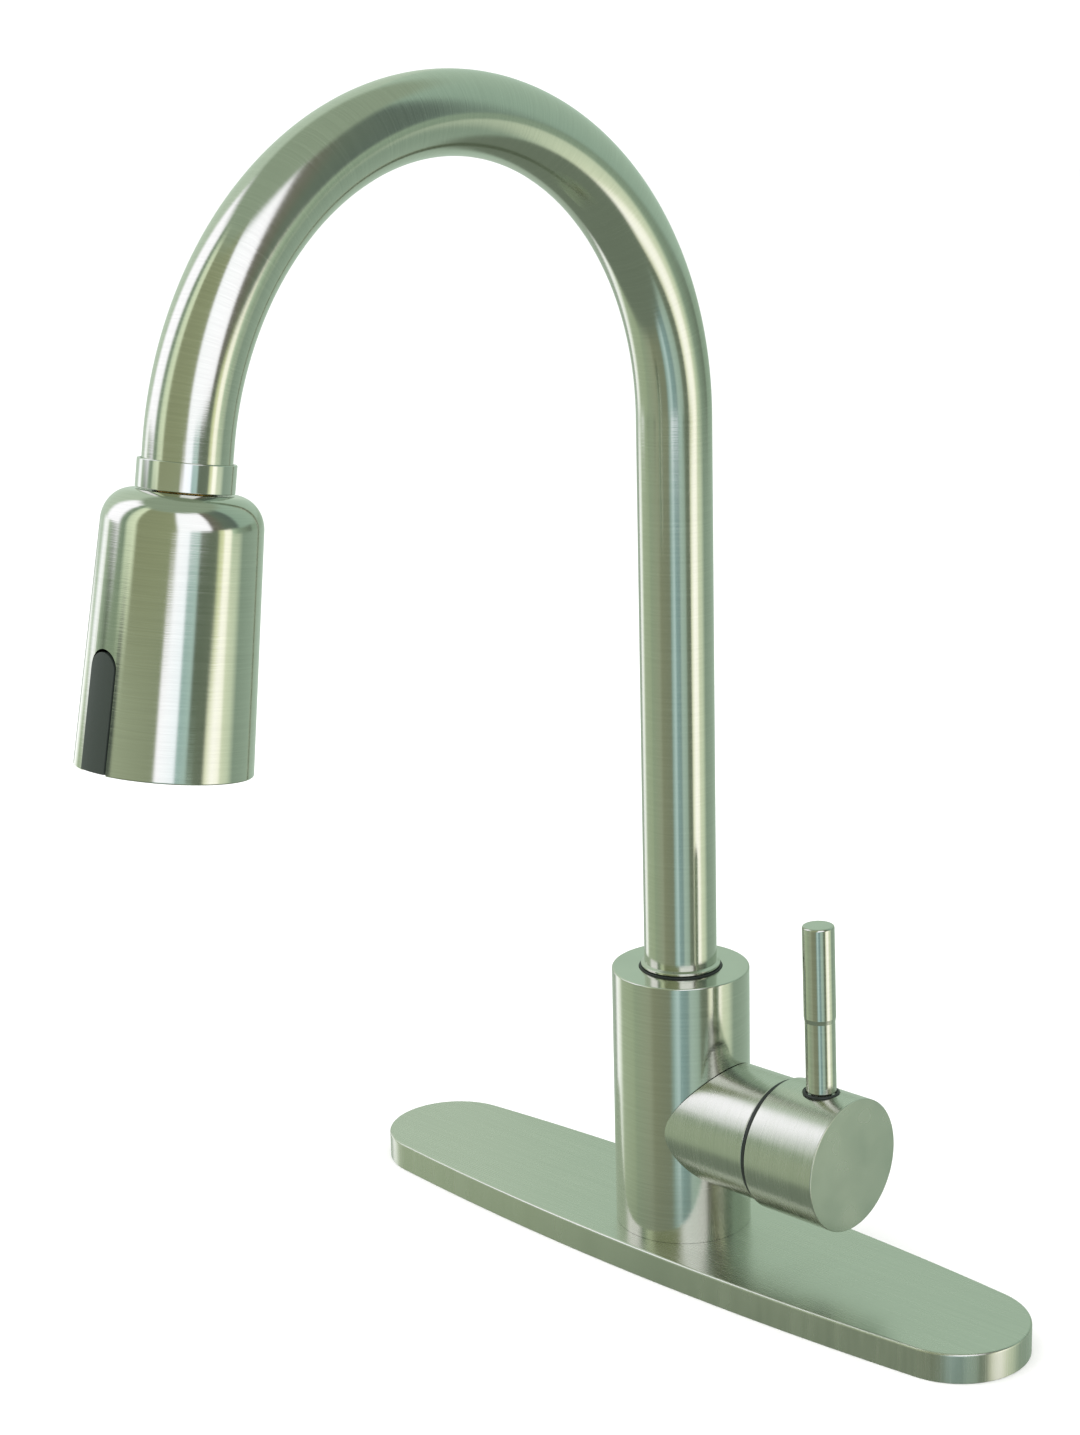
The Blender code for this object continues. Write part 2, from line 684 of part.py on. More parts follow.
def make_rocker(pivot):
    """Rocker button: a slot-shaped plate cut to the head's own curve, with a lug that its pin goes through."""
    depth, height = ROCKER_PIVOT_DEPTH, ROCKER_PIVOT_DOWN
    outline = slot_outline(ROCKER_HALF_WIDTH, ROCKER_TOP)[:-2]
    outline += [(-ROCKER_HALF_WIDTH, -ROCKER_BOTTOM), (ROCKER_HALF_WIDTH, -ROCKER_BOTTOM)]
    outline = [(x, z + height) for x, z in outline]
    rocker = facing_front("mode_rocker", outline, ROCKER_BACK - depth, 24 - depth, pivot, "black_plastic")
    top, bottom = 40, 90
    cone = down(
        (
            (0, top),
            (head_radius(top) + ROCKER_PROUD, top),
            (head_radius(bottom) + ROCKER_PROUD, bottom),
            (0, bottom),
        )
    )
    face = turned("rocker_face", cone, parent=pivot, sides=FINE)
    face.location = (0, depth * MM, height * MM)
    combine(rocker, face, "INTERSECT")
    lug = block("rocker_lug", (-3.4, depth - ROCKER_BACK - 2.5, -3), (3.4, depth - LUG_DEPTH, 3), parent=pivot)
    combine(rocker, lug, "UNION")
    combine(rocker, rod("lug_hole", PIN_HOLE_RADIUS, (-5, 0, 0), (5, 0, 0), parent=pivot))


def from_port(port, side=1):
    """A port's place in the valve's frame, whose X axis points down."""
    height, across = port
    return -height, side * across


def drill_ports(piece, low, high, parent):
    places = {"outlet": from_port(OUTLET_PORT), "hot": from_port(INLET_PORT, -1), "cold": from_port(INLET_PORT)}
    for name, (x, y) in places.items():
        port = rod(f"{piece.name}_{name}", PORT_RADIUS, (x, y, low), (x, y, high), parent=parent)
        combine(piece, port)


def make_cartridge(valve):
    """Fixed half of the ceramic cartridge, its seal and its nut, along the valve's axis."""
    shift = -PIVOT_X
    for name, radius, low, high, finish in (
        ("cartridge_seal", 15.0, 16.8, 18.5, "black_rubber"),
        ("cartridge_base", CARTRIDGE_RADIUS, 18.8, 20.4, "grey_plastic"),
        ("fixed_disc", 12.8, 20.7, 22.7, "ceramic"),
    ):
        profile = ((0, low), (radius, low), (radius, high), (0, high))
        disc = turned(name, profile, finish, valve, shift=shift)
        drill_ports(disc, low + shift - 1, high + shift + 1, valve)
    body = (
        (CHAMBER_RADIUS, 20.7),
        (CARTRIDGE_RADIUS, 20.7),
        (CARTRIDGE_RADIUS, 37.6),
        (12.0, 37.6),
        (12.0, 40.6),
        (NECK_BORE, 40.6),
        (NECK_BORE, 35.0),
        (CHAMBER_RADIUS, 35.0),
    )
    turned("cartridge_body", body, "grey_plastic", valve, shift=shift)
    ring("cartridge_nut", 12.3, 17.8, 37.9, 42.6, "brass", valve, shift=shift)
    lip = HOUSING_END + GAP
    gap_ring = (
        (12.6, 42.9),
        (HOUSING_BORE, 42.9),
        (HOUSING_BORE, lip),
        (HUB_RELIEF - 0.2, lip),
        (HUB_RELIEF - 0.2, HUB_START - GAP),
        (HUB_RELIEF - 0.9, HUB_START + 0.4),
        (HUB_RELIEF - 0.9, 43.7),
        (12.6, 43.7),
    )
    turned("gap_ring", gap_ring, "black_rubber", valve, sides=FINE, shift=shift)


def make_housing(valve):
    """Drum that carries the cartridge, cut to sit on the upright body."""
    edge = 0.5
    profile = (
        (HOUSING_BORE, 6),
        (HOUSING_RADIUS, 6),
        (HOUSING_RADIUS, HOUSING_END - edge),
        (HOUSING_RADIUS - edge, HOUSING_END),
        (HOUSING_BORE, HOUSING_END),
    )
    housing = turned("valve_housing", profile, "brushed_nickel", valve, sides=FINE, shift=-PIVOT_X)
    saddle = rod("saddle", BODY_RADIUS + GAP, (0, 0, 10), (0, 0, 90), sides=FINE)
    combine(housing, saddle)


def make_carrier(valve):
    """Turning half of the cartridge: the carrier with its slot, and the pin that the stem tilts on."""
    shift = -PIVOT_X
    profile = ((0, 25.5), (12.9, 25.5), (12.9, 34.7), (9.4, 34.7), (9.4, 41.5), (0, 41.5))
    carrier = turned("stem_carrier", profile, "white_plastic", valve, shift=shift)
    slot = block("carrier_slot", (-5.6, -3.7, -6), (7.8, 3.7, 20), parent=valve)
    combine(carrier, slot)
    hole = rod("carrier_pin_hole", STEM_PIN_RADIUS + GAP, (0, -15, 0), (0, 15, 0), parent=valve)
    combine(carrier, hole)
    rod("stem_pin", STEM_PIN_RADIUS, (0, -12, 0), (0, 12, 0), "stainless_steel", valve)
    disc = turned("moving_disc", ((0, 23), (9.9, 23), (9.9, 25.2), (0, 25.2)), "ceramic", valve, shift=shift)
    combine(disc, block("disc_pocket", (-2.8, -3.8, 23.9 + shift), (2.8, 3.8, 27 + shift), parent=valve))


def make_stem(valve):
    """Stem: a square bar from the hub down to a finger that moves the disc, with a hole for its pin."""
    shift = -PIVOT_X
    tip, root, end = 24.1 + shift, 26.3 + shift, STEM_END + shift
    half, finger = STEM_HALF_HEIGHT, STEM_FINGER
    chamfer = 1.2
    outline = (
        (-finger, tip + chamfer),
        (chamfer - finger, tip),
        (finger - chamfer, tip),
        (finger, tip + chamfer),
        (finger, root),
        (half, root),
        (half, end),
        (-half, end),
        (-half, root),
        (-finger, root),
    )
    stem = facing_front("stem", outline, -STEM_HALF_WIDTH, STEM_HALF_WIDTH, valve, "stainless_steel")
    hole = rod("stem_pin_hole", STEM_PIN_RADIUS + GAP, (0, -5, 0), (0, 5, 0), parent=valve)
    combine(stem, hole)


def make_hub(valve, lever):
    """Handle hub: a drum hollowed over the cartridge's end, with holes for the stem, lever and set screw."""
    shift = -PIVOT_X
    edge = 0.4
    profile = (
        (0, HUB_FLOOR),
        (HUB_CAVITY, HUB_FLOOR),
        (HUB_CAVITY, 46.4),
        (HUB_RELIEF, 45.7),
        (HUB_RELIEF, HUB_START),
        (HUB_RADIUS - edge, HUB_START),
        (HUB_RADIUS, HUB_START + edge),
        (HUB_RADIUS, HUB_END - edge),
        (HUB_RADIUS - edge, HUB_END),
        (0, HUB_END),
    )
    hub = turned("handle_hub", profile, "brushed_nickel", valve, sides=FINE, shift=shift)
    low = (-STEM_HALF_HEIGHT - GAP, -STEM_HALF_WIDTH - GAP, HUB_FLOOR - 1 + shift)
    high = (STEM_HALF_HEIGHT + GAP, STEM_HALF_WIDTH + GAP, STEM_END + 0.5 + shift)
    combine(hub, block("stem_hole", low, high, parent=valve))
    combine(hub, rod("stud_hole", STUD_RADIUS + GAP, (0, 0, STUD_BOTTOM - GAP), (0, 0, 9), parent=lever))
    combine(hub, rod("spotface", SPOTFACE_RADIUS, (0, 0, 0), (0, 0, 9), parent=lever, sides=MEDIUM))
    screw = SET_SCREW_X + shift
    hole = rod("screw_hole", SET_SCREW_RADIUS + GAP, (2, 0, screw), (30, 0, screw), parent=valve)
    combine(hub, hole)
    start = STEM_HALF_HEIGHT + 0.4
    set_screw = rod("set_screw", SET_SCREW_RADIUS, (start, 0, screw), (12, 0, screw), "stainless_steel", valve)
    combine(set_screw, rod("key_socket", 1.3, (9, 0, screw), (15, 0, screw), parent=valve, sides=6))


def make_lever(axis):
    """Lever pin with a threaded foot in the hub, and the ring under it, built up from the flat on the hub."""
    edge = 0.6
    profile = (
        (0, STUD_BOTTOM),
        (STUD_RADIUS, STUD_BOTTOM),
        (STUD_RADIUS, LEVER_FOOT),
        (LEVER_FOOT_RADIUS, LEVER_FOOT),
        (LEVER_FOOT_RADIUS, LEVER_STEP - 1),
        (LEVER_RADIUS, LEVER_STEP + 1),
        (LEVER_RADIUS, LEVER_TOP - edge),
        (LEVER_RADIUS - edge, LEVER_TOP),
        (0, LEVER_TOP),
    )
    turned("lever", profile, "brushed_nickel", axis)
    radius, section = LEVER_RING
    o_ring("lever_oring", radius, section + GAP / 2, section, "black_rubber", axis)


def main():
    clear_scene()
    make_deck_plate()
    make_body()
    make_valve_core()
    make_shank_and_tubes()
    make_clamp(anchor("clamp_axis", (0, 0, 0)))
    make_socket()
    spout = anchor("spout_axis", (0, 0, 0))
    make_spout_tube(spout)
    make_ferrule(spout)
    head = anchor("head_axis", arch_end(), (ARCH_SWEEP - pi, 0, 0), spout)
    make_dock(spout, head)
    make_hose(spout)
    make_hose_ends(spout, head)
    make_spray_neck(head)
    make_spray_shell(head)
    make_spray_core(head)
    make_nozzles(head)
    make_rocker(anchor("rocker_pivot", (0, -ROCKER_PIVOT_DEPTH, -ROCKER_PIVOT_DOWN), parent=head))
    pivot = anchor("stem_pivot", (PIVOT_X, 0, VALVE_HEIGHT))
    valve = anchor("valve_axis", (0, 0, 0), (0, pi / 2, 0), pivot)
    make_housing(valve)
    make_cartridge(valve)
    make_carrier(valve)
    make_stem(valve)
    lever = anchor("lever_axis", (LEVER_X - PIVOT_X, 0, HUB_SPOTFACE), (0, LEVER_LEAN, 0), pivot)
    make_hub(valve, lever)
    make_lever(lever)


main()
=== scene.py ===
"""Pull-down kitchen faucet in brushed nickel: its finished surfaces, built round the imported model."""

import json
from math import atan2, cos, pi, radians, sin, tan

import bmesh
import bpy
from bpy.props import FloatProperty, FloatVectorProperty, IntProperty, PointerProperty
from mathutils import Matrix, Vector


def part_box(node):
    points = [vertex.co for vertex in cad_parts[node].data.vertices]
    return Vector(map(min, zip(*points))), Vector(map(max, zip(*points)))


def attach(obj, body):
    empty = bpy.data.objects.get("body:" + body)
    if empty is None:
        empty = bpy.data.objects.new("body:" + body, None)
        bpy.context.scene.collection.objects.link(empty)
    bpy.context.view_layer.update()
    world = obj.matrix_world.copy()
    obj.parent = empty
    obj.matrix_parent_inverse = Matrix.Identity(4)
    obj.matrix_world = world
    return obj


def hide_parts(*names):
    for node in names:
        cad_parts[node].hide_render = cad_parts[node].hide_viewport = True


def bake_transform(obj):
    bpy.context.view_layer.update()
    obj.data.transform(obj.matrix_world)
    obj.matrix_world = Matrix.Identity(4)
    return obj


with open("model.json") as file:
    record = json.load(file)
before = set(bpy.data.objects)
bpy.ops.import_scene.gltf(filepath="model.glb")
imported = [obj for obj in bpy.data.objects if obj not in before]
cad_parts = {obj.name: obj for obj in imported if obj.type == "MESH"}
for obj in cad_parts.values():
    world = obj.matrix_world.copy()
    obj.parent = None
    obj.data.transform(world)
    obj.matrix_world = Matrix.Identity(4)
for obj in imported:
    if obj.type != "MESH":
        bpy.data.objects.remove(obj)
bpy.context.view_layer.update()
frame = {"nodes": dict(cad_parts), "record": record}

bl_info = {
    "name": "Pull-down kitchen faucet",
    "version": (1, 0, 0),
    "blender": (4, 5, 0),
    "location": "3D View > Sidebar > Faucet",
    "description": "Builds the finished surfaces of a pull-down kitchen faucet round its model",
    "category": "Object",
}

MM = 0.001
JOINTS = {joint["name"]: joint for joint in frame["record"]["behaviour"]["joints"]}
SLOTS = {part["node"]: part["material_slot"] for part in frame["record"]["subparts"]}


def box_low(node):
    """Least corner of a CAD node's box."""
    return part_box(node)[0]


def box_high(node):
    """Greatest corner of a CAD node's box."""
    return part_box(node)[1]


def axis_frame(origin, along, across):
    """Matrix of a frame at origin whose Z axis runs along and whose X axis runs across."""
    rows = Matrix((across, along.cross(across), along)).transposed()
    return Matrix.Translation(origin) @ rows.to_4x4()


# Spout: a straight leg, then an arch in the YZ plane whose end points along the spray head's axis.
TUBE_RADIUS = box_high("spout_tube").x
HEAD_AXIS = Vector(JOINTS["spray_pull"]["axis"]).normalized()
HEAD_ORIGIN = Vector(JOINTS["spray_spin"]["pos_m"])
ARCH_SWEEP = pi - atan2(-HEAD_AXIS.y, -HEAD_AXIS.z)
ARCH_RADIUS = -HEAD_ORIGIN.y / (1 - cos(ARCH_SWEEP))
ARCH_START = HEAD_ORIGIN.z - ARCH_RADIUS * sin(ARCH_SWEEP)
ARCH_LENGTH = ARCH_RADIUS * ARCH_SWEEP

# Frames with their Z axis up the spray head, and along the valve from the upright body's axis
HEAD = axis_frame(HEAD_ORIGIN, -HEAD_AXIS, Vector((1, 0, 0)))
VALVE_HEIGHT = JOINTS["flow_tilt"]["pos_m"][2]
VALVE = axis_frame(Vector((0, 0, VALVE_HEIGHT)), Vector((1, 0, 0)), Vector((0, 0, -1)))
# Frame of the lever: its Z axis stands up from the flat on the hub and leans a little towards the body
LEVER = Matrix.Translation((56.7 * MM, 0, VALVE_HEIGHT + 20 * MM)) @ Matrix.Rotation(radians(-1.5), 4, "Y")
UPRIGHT = Matrix.Identity(4)
VALVE_BORE = 18.1 * MM

# Spray head, measured down its axis from the end of the arch
HEAD_TOP = 12.3 * MM
HEAD_SHOULDER = 21.0 * MM
HEAD_BOTTOM = 83.3 * MM
HEAD_SHOULDER_RADIUS = 20.6 * MM
HEAD_BOTTOM_RADIUS = box_high("spray_shell").x
HEAD_FLAT_RADIUS = 12.9 * MM
HEAD_WALL = 1.2 * MM
SLOT_TOP = 52.0 * MM
SLOT_HALF_WIDTH = 5.0 * MM
ROCKER_GAP = 0.4 * MM
ROCKER_BOTTOM = 82.9 * MM
ROCKER_DEPTH = 17.6 * MM
NOZZLE_BOTTOM = 82.2 * MM

# The direction of the front of the studio, where the camera stands
CAMERA_AZIMUTH = radians(44.47)
CAMERA_ELEVATION = radians(14.88)
CAMERA_ROLL = radians(-1.49)
CAMERA_DISTANCE = 0.92741
CAMERA_TARGET = Vector((-0.10641, 0.04758, 0.14908))


def linear(hex_colour):
    """Linear RGB of an sRGB colour written as six hex digits."""
    channels = [int(hex_colour[start : start + 2], 16) / 255 for start in (0, 2, 4)]
    return tuple(c / 12.92 if c <= 0.04045 else ((c + 0.055) / 1.055) ** 2.4 for c in channels)


def colour_property(name, description, hex_colour):
    """Colour setting whose default is an sRGB hex value."""
    return FloatVectorProperty(
        name=name, description=description, subtype="COLOR", size=3, min=0, max=1, default=linear(hex_colour)
    )


def length_property(name, description, millimetres):
    """Length setting whose default is in millimetres."""
    return FloatProperty(name=name, description=description, unit="LENGTH", default=millimetres * MM, min=0)


class FaucetSizes(bpy.types.PropertyGroup):
    facets: IntProperty(
        name="Facets", description="Facets round the large turned pieces", default=144, min=48, max=256
    )
    edge: length_property("Edge", "Round on the machined edges of the hub and the drum", 0.35)
    plate_edge: length_property("Plate edge", "Round on the deck plate's top edge", 0.8)
    thread_pitch: length_property("Thread pitch", "Distance between two turns of the shank's thread", 2.0)
    thread_depth: length_property("Thread depth", "Height of the shank's thread", 0.9)
    nozzles: IntProperty(name="Nozzles", description="Rubber nozzles round the spray face", default=20, min=6)


class FaucetFinishes(bpy.types.PropertyGroup):
    nickel: colour_property("Nickel", "Brushed nickel plating", "CDD0C4")
    polished: colour_property("Polished nickel", "Bright nickel of the docking collar", "D3D6C9")
    rubber: colour_property("Rubber", "Seals, rings and washers", "1E2421")
    button: colour_property("Button", "Rocker button and spray face", "2C342F")
    brass: colour_property("Brass", "Turned brass of the valve and the shank", "C9A35C")
    steel: colour_property("Steel", "Stamped and turned stainless steel", "B9BBB8")
    copper: colour_property("Copper", "Drawn copper tubes", "C67B52")
    grey: colour_property("Grey plastic", "Moulded acetal of the cartridge and the insert", "8C9090")
    white: colour_property("White plastic", "Moulded acetal of bushes and carriers", "DEDDD6")
    ceramic: colour_property("Ceramic", "Lapped alumina discs", "EFEAE0")
    braid: colour_property("Hose braid", "Woven nylon over the spray hose", "6B706C")
    brush_spacing: length_property("Brush spacing", "Distance between two brush lines", 0.55)
    roughness: FloatProperty(
        name="Roughness",
        description="Roughness of the brushed nickel",
        subtype="FACTOR",
        default=0.13,
        min=0,
        max=1,
    )


class FaucetStage(bpy.types.PropertyGroup):
    floor: colour_property("Floor", "Floor under the faucet", "FAFAF9")
    backdrop: colour_property("Backdrop", "What the camera sees past the floor", "FFFFFF")
    key_power: FloatProperty(name="Key", description="Power of the large soft light", unit="POWER", default=15)
    fill_power: FloatProperty(name="Fill", description="Power of the fill light", unit="POWER", default=9)
    lens: FloatProperty(name="Lens", description="Focal length in millimetres", default=66.04, min=10)


def sizes():
    """The scene's size settings."""
    return bpy.context.scene.faucet_sizes


def finishes():
    """The scene's colour and gloss settings."""
    return bpy.context.scene.faucet_finishes


# ---------------------------------------------------------------- shapes


def mm(*corners):
    """Corners given in millimetres, as tuples in metres."""
    return tuple(tuple(value * MM for value in corner) for corner in corners)


def rectangle(left, right, low, high):
    """Outline of a rectangle for slab."""
    return ((left, low), (right, low), (right, high), (left, high))


def add_object(name, shape, material):
    """Object from a bmesh, which is freed, with one material."""
    mesh = bpy.data.meshes.new(name)
    shape.to_mesh(mesh)
    shape.free()
    mesh.materials.append(material)
    made = bpy.data.objects.new(name, mesh)
    bpy.context.scene.collection.objects.link(made)
    return made


def add_piece(name, shape, material, body, nodes=(), sharp=32):
    """Piece from a bmesh with a material by name, that rides a body and stands for the CAD nodes, which it
    hides.
    """
    piece = add_object(name, shape, shared(material))
    piece.data.shade_smooth()
    piece.data.set_sharp_from_angle(angle=radians(sharp))
    level = piece.modifiers.new("Even shading", "WEIGHTED_NORMAL")
    level.keep_sharp = True
    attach(piece, body)
    if nodes:
        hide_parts(*nodes)
    return piece


def rounded(outline, steps=4):
    """Points of a closed outline of (radius, height, round) corners, with an arc at each that has a round."""
    corners = [Vector((corner[0], 0, corner[1])) for corner in outline]
    points = []
    for index, corner in enumerate(corners):
        size = outline[index][2] if len(outline[index]) > 2 else 0
        if not size:
            points.append(corner)
            continue
        before = (corners[index - 1] - corner).normalized()
        after = (corners[(index + 1) % len(corners)] - corner).normalized()
        half = before.angle(after) / 2
        centre = corner + (before + after).normalized() * size / sin(half)
        start = (corner + before * size / tan(half) - centre).normalized()
        end = (corner + after * size / tan(half) - centre).normalized()
        points += [centre + start.slerp(end, step / steps) * size for step in range(steps + 1)]
    return points


def settled(shape, place):
    """A spun shape with its seam and poles closed and its faces outwards, moved to its frame."""
    bmesh.ops.remove_doubles(shape, verts=shape.verts, dist=1e-7)
    bmesh.ops.recalc_face_normals(shape, faces=shape.faces)
    bmesh.ops.transform(shape, matrix=place, verts=shape.verts)
    return shape


def lathe(outline, place=UPRIGHT, facets=None, steps=4):
    """Solid turned from a closed outline round the Z axis of a frame."""
    shape = bmesh.new()
    verts = [shape.verts.new(point) for point in rounded(outline, steps)]
    pairs = zip(verts, verts[1:] + verts[:1])
    edges = [shape.edges.new(pair) for pair in pairs if max(pair[0].co.x, pair[1].co.x) > 0]
    turns = facets or sizes().facets
    bmesh.ops.spin(
        shape, geom=verts + edges, cent=(0, 0, 0), axis=(0, 0, 1), angle=2 * pi, steps=turns, use_merge=True
    )
    return settled(shape, place)


def o_ring(radius, height, section, place=UPRIGHT, facets=96):
    """Ring of round section round the Z axis of a frame."""
    shape = bmesh.new()
    made = bmesh.ops.create_circle(
        shape,
        segments=16,
        radius=section,
        matrix=Matrix.Translation((radius, 0, height)) @ Matrix.Rotation(pi / 2, 4, "X"),
    )
    geometry = made["verts"] + shape.edges[:]
    bmesh.ops.spin(
        shape, geom=geometry, cent=(0, 0, 0), axis=(0, 0, 1), angle=2 * pi, steps=facets, use_merge=True
    )
    return settled(shape, place)


def slab(outline, low, high, place=UPRIGHT):
    """Flat outline raised from one height to another in a frame."""
    shape = bmesh.new()
    base = shape.faces.new([shape.verts.new((x, y, low)) for x, y in outline])
    raised = bmesh.ops.extrude_face_region(shape, geom=[base])["geom"]
    lifted = [item for item in raised if isinstance(item, bmesh.types.BMVert)]
    bmesh.ops.translate(shape, verts=lifted, vec=(0, 0, high - low))
    bmesh.ops.recalc_face_normals(shape, faces=shape.faces)
    bmesh.ops.transform(shape, matrix=place, verts=shape.verts)
    return shape


def rod(radius, start, end, place=UPRIGHT, facets=48):
    """Cylinder between two points of a frame."""
    start, end = Vector(start), Vector(end)
    turn = Vector((0, 0, 1)).rotation_difference(end - start).to_matrix().to_4x4()
    shape = bmesh.new()
    bmesh.ops.create_cone(
        shape,
        cap_ends=True,
        segments=facets,
        radius1=radius,
        radius2=radius,
        depth=(end - start).length,
        matrix=place @ Matrix.Translation((start + end) / 2) @ turn,
    )
    return shape


def joined(*shapes):
    """One bmesh that holds several, which are freed."""
    whole = bmesh.new()
    for shape in shapes:
        mesh = bpy.data.meshes.new("part")
        shape.to_mesh(mesh)
        shape.free()
        whole.from_mesh(mesh)
        bpy.data.meshes.remove(mesh)
    return whole


def boolean(shape, *tools, operation="DIFFERENCE"):
    """The first bmesh with the others cut from it, or met with it."""
    helpers = []
    for index, source in enumerate((shape, *tools)):
        mesh = bpy.data.meshes.new(f"helper_{index}")
        source.to_mesh(mesh)
        source.free()
        helpers.append(bpy.data.objects.new(mesh.name, mesh))
        bpy.context.scene.collection.objects.link(helpers[-1])
    target = helpers[0]
    for tool in helpers[1:]:
        modifier = target.modifiers.new(tool.name, "BOOLEAN")
        modifier.object = tool
        modifier.operation = operation
    evaluated = target.evaluated_get(bpy.context.evaluated_depsgraph_get())
    result = bmesh.new()
    result.from_mesh(evaluated.to_mesh())
    evaluated.to_mesh_clear()
    for helper in helpers:
        mesh = helper.data
        bpy.data.objects.remove(helper)
        bpy.data.meshes.remove(mesh)
    bmesh.ops.dissolve_degenerate(result, dist=1e-7, edges=result.edges)
    return result


# ---------------------------------------------------------------- materials


def add_node(tree, kind, inputs=None, **settings):
    """Adds a node with its settings; inputs maps sockets to values or to the outputs that feed them."""
    node = tree.nodes.new(kind)
    for key, value in settings.items():
        setattr(node, key, value)
    for socket, value in (inputs or {}).items():
        if isinstance(value, bpy.types.NodeSocket):
            tree.links.new(value, node.inputs[socket])
        else:
            node.inputs[socket].default_value = value
    return node


def new_material(name, colour, metallic, roughness):
    """Material with one Principled shader; returns it with its tree and shader."""
    material = bpy.data.materials.new(name)
    material.use_nodes = True
    tree = material.node_tree
    shader = tree.nodes["Principled BSDF"]
    values = {"Base Color": (*colour, 1), "Metallic": metallic, "Roughness": roughness}
    for socket, value in values.items():
        shader.inputs[socket].default_value = value
    return material, tree, shader


def stretched(tree, along, lengthwise, across, turn=(0, 0, 0), attribute=None):
    """Coordinates for a streaky pattern: one scale on an axis of a turned frame, another across it."""
    if attribute:
        source = add_node(tree, "ShaderNodeAttribute", attribute_name=attribute).outputs["Vector"]
    else:
        source = add_node(tree, "ShaderNodeTexCoord").outputs["Object"]
    scale = [1 / across] * 3
    scale["XYZ".index(along)] = 1 / lengthwise
    inputs = {"Vector": source, "Rotation": turn, "Scale": scale}
    return add_node(tree, "ShaderNodeMapping", inputs, vector_type="TEXTURE").outputs["Vector"]


def brushed_nickel(name, along="Z", turn=(0, 0, 0), attribute=None, streak=25.0, roughness=None):
    """Nickel plating over metal, brushed with an abrasive belt while it turned.

    The lines run round the piece, so light smears along its axis and upright reflections keep their edges. Real
    lines are under 0.1 mm apart, too fine to show on a whole faucet, so they are drawn coarser.
    """
    look = finishes()
    rough = roughness or look.roughness
    material, tree, shader = new_material(name, look.nickel, 1.0, rough)
    lines_at = stretched(tree, along, 1 / look.brush_spacing, streak, turn, attribute)
    lines = add_node(tree, "ShaderNodeTexNoise", {"Vector": lines_at, "Scale": 1.0, "Detail": 3.0})
    fine_at = stretched(tree, along, 2.6 / look.brush_spacing, 3 * streak, turn, attribute)
    fine = add_node(tree, "ShaderNodeTexNoise", {"Vector": fine_at, "Scale": 1.0, "Detail": 2.0})
    cloud_at = stretched(tree, along, 40.0, 60.0, turn, attribute)
    cloud = add_node(tree, "ShaderNodeTexNoise", {"Vector": cloud_at, "Scale": 1.0, "Detail": 2.0})
    parts = {0: lines.outputs["Fac"], 1: fine.outputs["Fac"]}
    both = add_node(tree, "ShaderNodeMath", parts, operation="ADD")
    limits = {"Value": both.outputs[0], "From Min": 0.75, "From Max": 1.25}
    tone = add_node(tree, "ShaderNodeMapRange", limits)
    dull = [channel * 0.93 for channel in look.nickel]
    ends = {0: tone.outputs[0], 6: (*dull, 1), 7: (*look.nickel, 1)}
    plating = add_node(tree, "ShaderNodeMix", ends, data_type="RGBA")
    tree.links.new(plating.outputs[2], shader.inputs["Base Color"])
    parts = {0: both.outputs[0], 1: cloud.outputs["Fac"]}
    mixed = add_node(tree, "ShaderNodeMath", parts, operation="ADD").outputs[0]
    limits = {"Value": mixed, "From Min": 1.1, "From Max": 1.9, "To Min": rough * 0.8, "To Max": rough * 1.3}
    spread = add_node(tree, "ShaderNodeMapRange", limits)
    tree.links.new(spread.outputs[0], shader.inputs["Roughness"])
    relief = {"Height": both.outputs[0], "Strength": 0.35, "Distance": 0.02 * MM}
    bump = add_node(tree, "ShaderNodeBump", relief)
    tree.links.new(bump.outputs[0], shader.inputs["Normal"])
    return material


def polished_nickel():
    """Bright nickel plating over turned brass: a mirror with the faintest turning marks."""
    material, tree, shader = new_material("polished_nickel", finishes().polished, 1.0, 0.05)
    turning = stretched(tree, "Z", 1800.0, 20.0, HEAD.to_euler())
    marks = add_node(tree, "ShaderNodeTexNoise", {"Vector": turning, "Scale": 1.0, "Detail": 1.0})
    relief = {"Height": marks.outputs["Fac"], "Strength": 0.15, "Distance": 0.01 * MM}
    bump = add_node(tree, "ShaderNodeBump", relief)
    tree.links.new(bump.outputs[0], shader.inputs["Normal"])
    return material


def grained(name, colour, grain, roughness, depth, contrast=0.12, metallic=0.0):
    """Moulded, cast or turned surface: an even colour with a fine grain in tone, gloss and height."""
    material, tree, shader = new_material(name, colour, metallic, roughness)
    place = add_node(tree, "ShaderNodeTexCoord").outputs["Object"]
    noise = add_node(tree, "ShaderNodeTexNoise", {"Vector": place, "Scale": 1 / grain, "Detail": 3.0})
    dark = [channel * (1 - contrast) for channel in colour]
    light = [min(channel * (1 + contrast), 1) for channel in colour]
    ends = {0: noise.outputs["Fac"], 6: (*dark, 1), 7: (*light, 1)}
    tone = add_node(tree, "ShaderNodeMix", ends, data_type="RGBA")
    tree.links.new(tone.outputs[2], shader.inputs["Base Color"])
    limits = {"Value": noise.outputs["Fac"], "To Min": roughness * 0.8, "To Max": min(roughness * 1.2, 1)}
    gloss = add_node(tree, "ShaderNodeMapRange", limits)
    tree.links.new(gloss.outputs[0], shader.inputs["Roughness"])
    relief = {"Height": noise.outputs["Fac"], "Strength": 0.3, "Distance": depth}
    bump = add_node(tree, "ShaderNodeBump", relief)
    tree.links.new(bump.outputs[0], shader.inputs["Normal"])
    return material


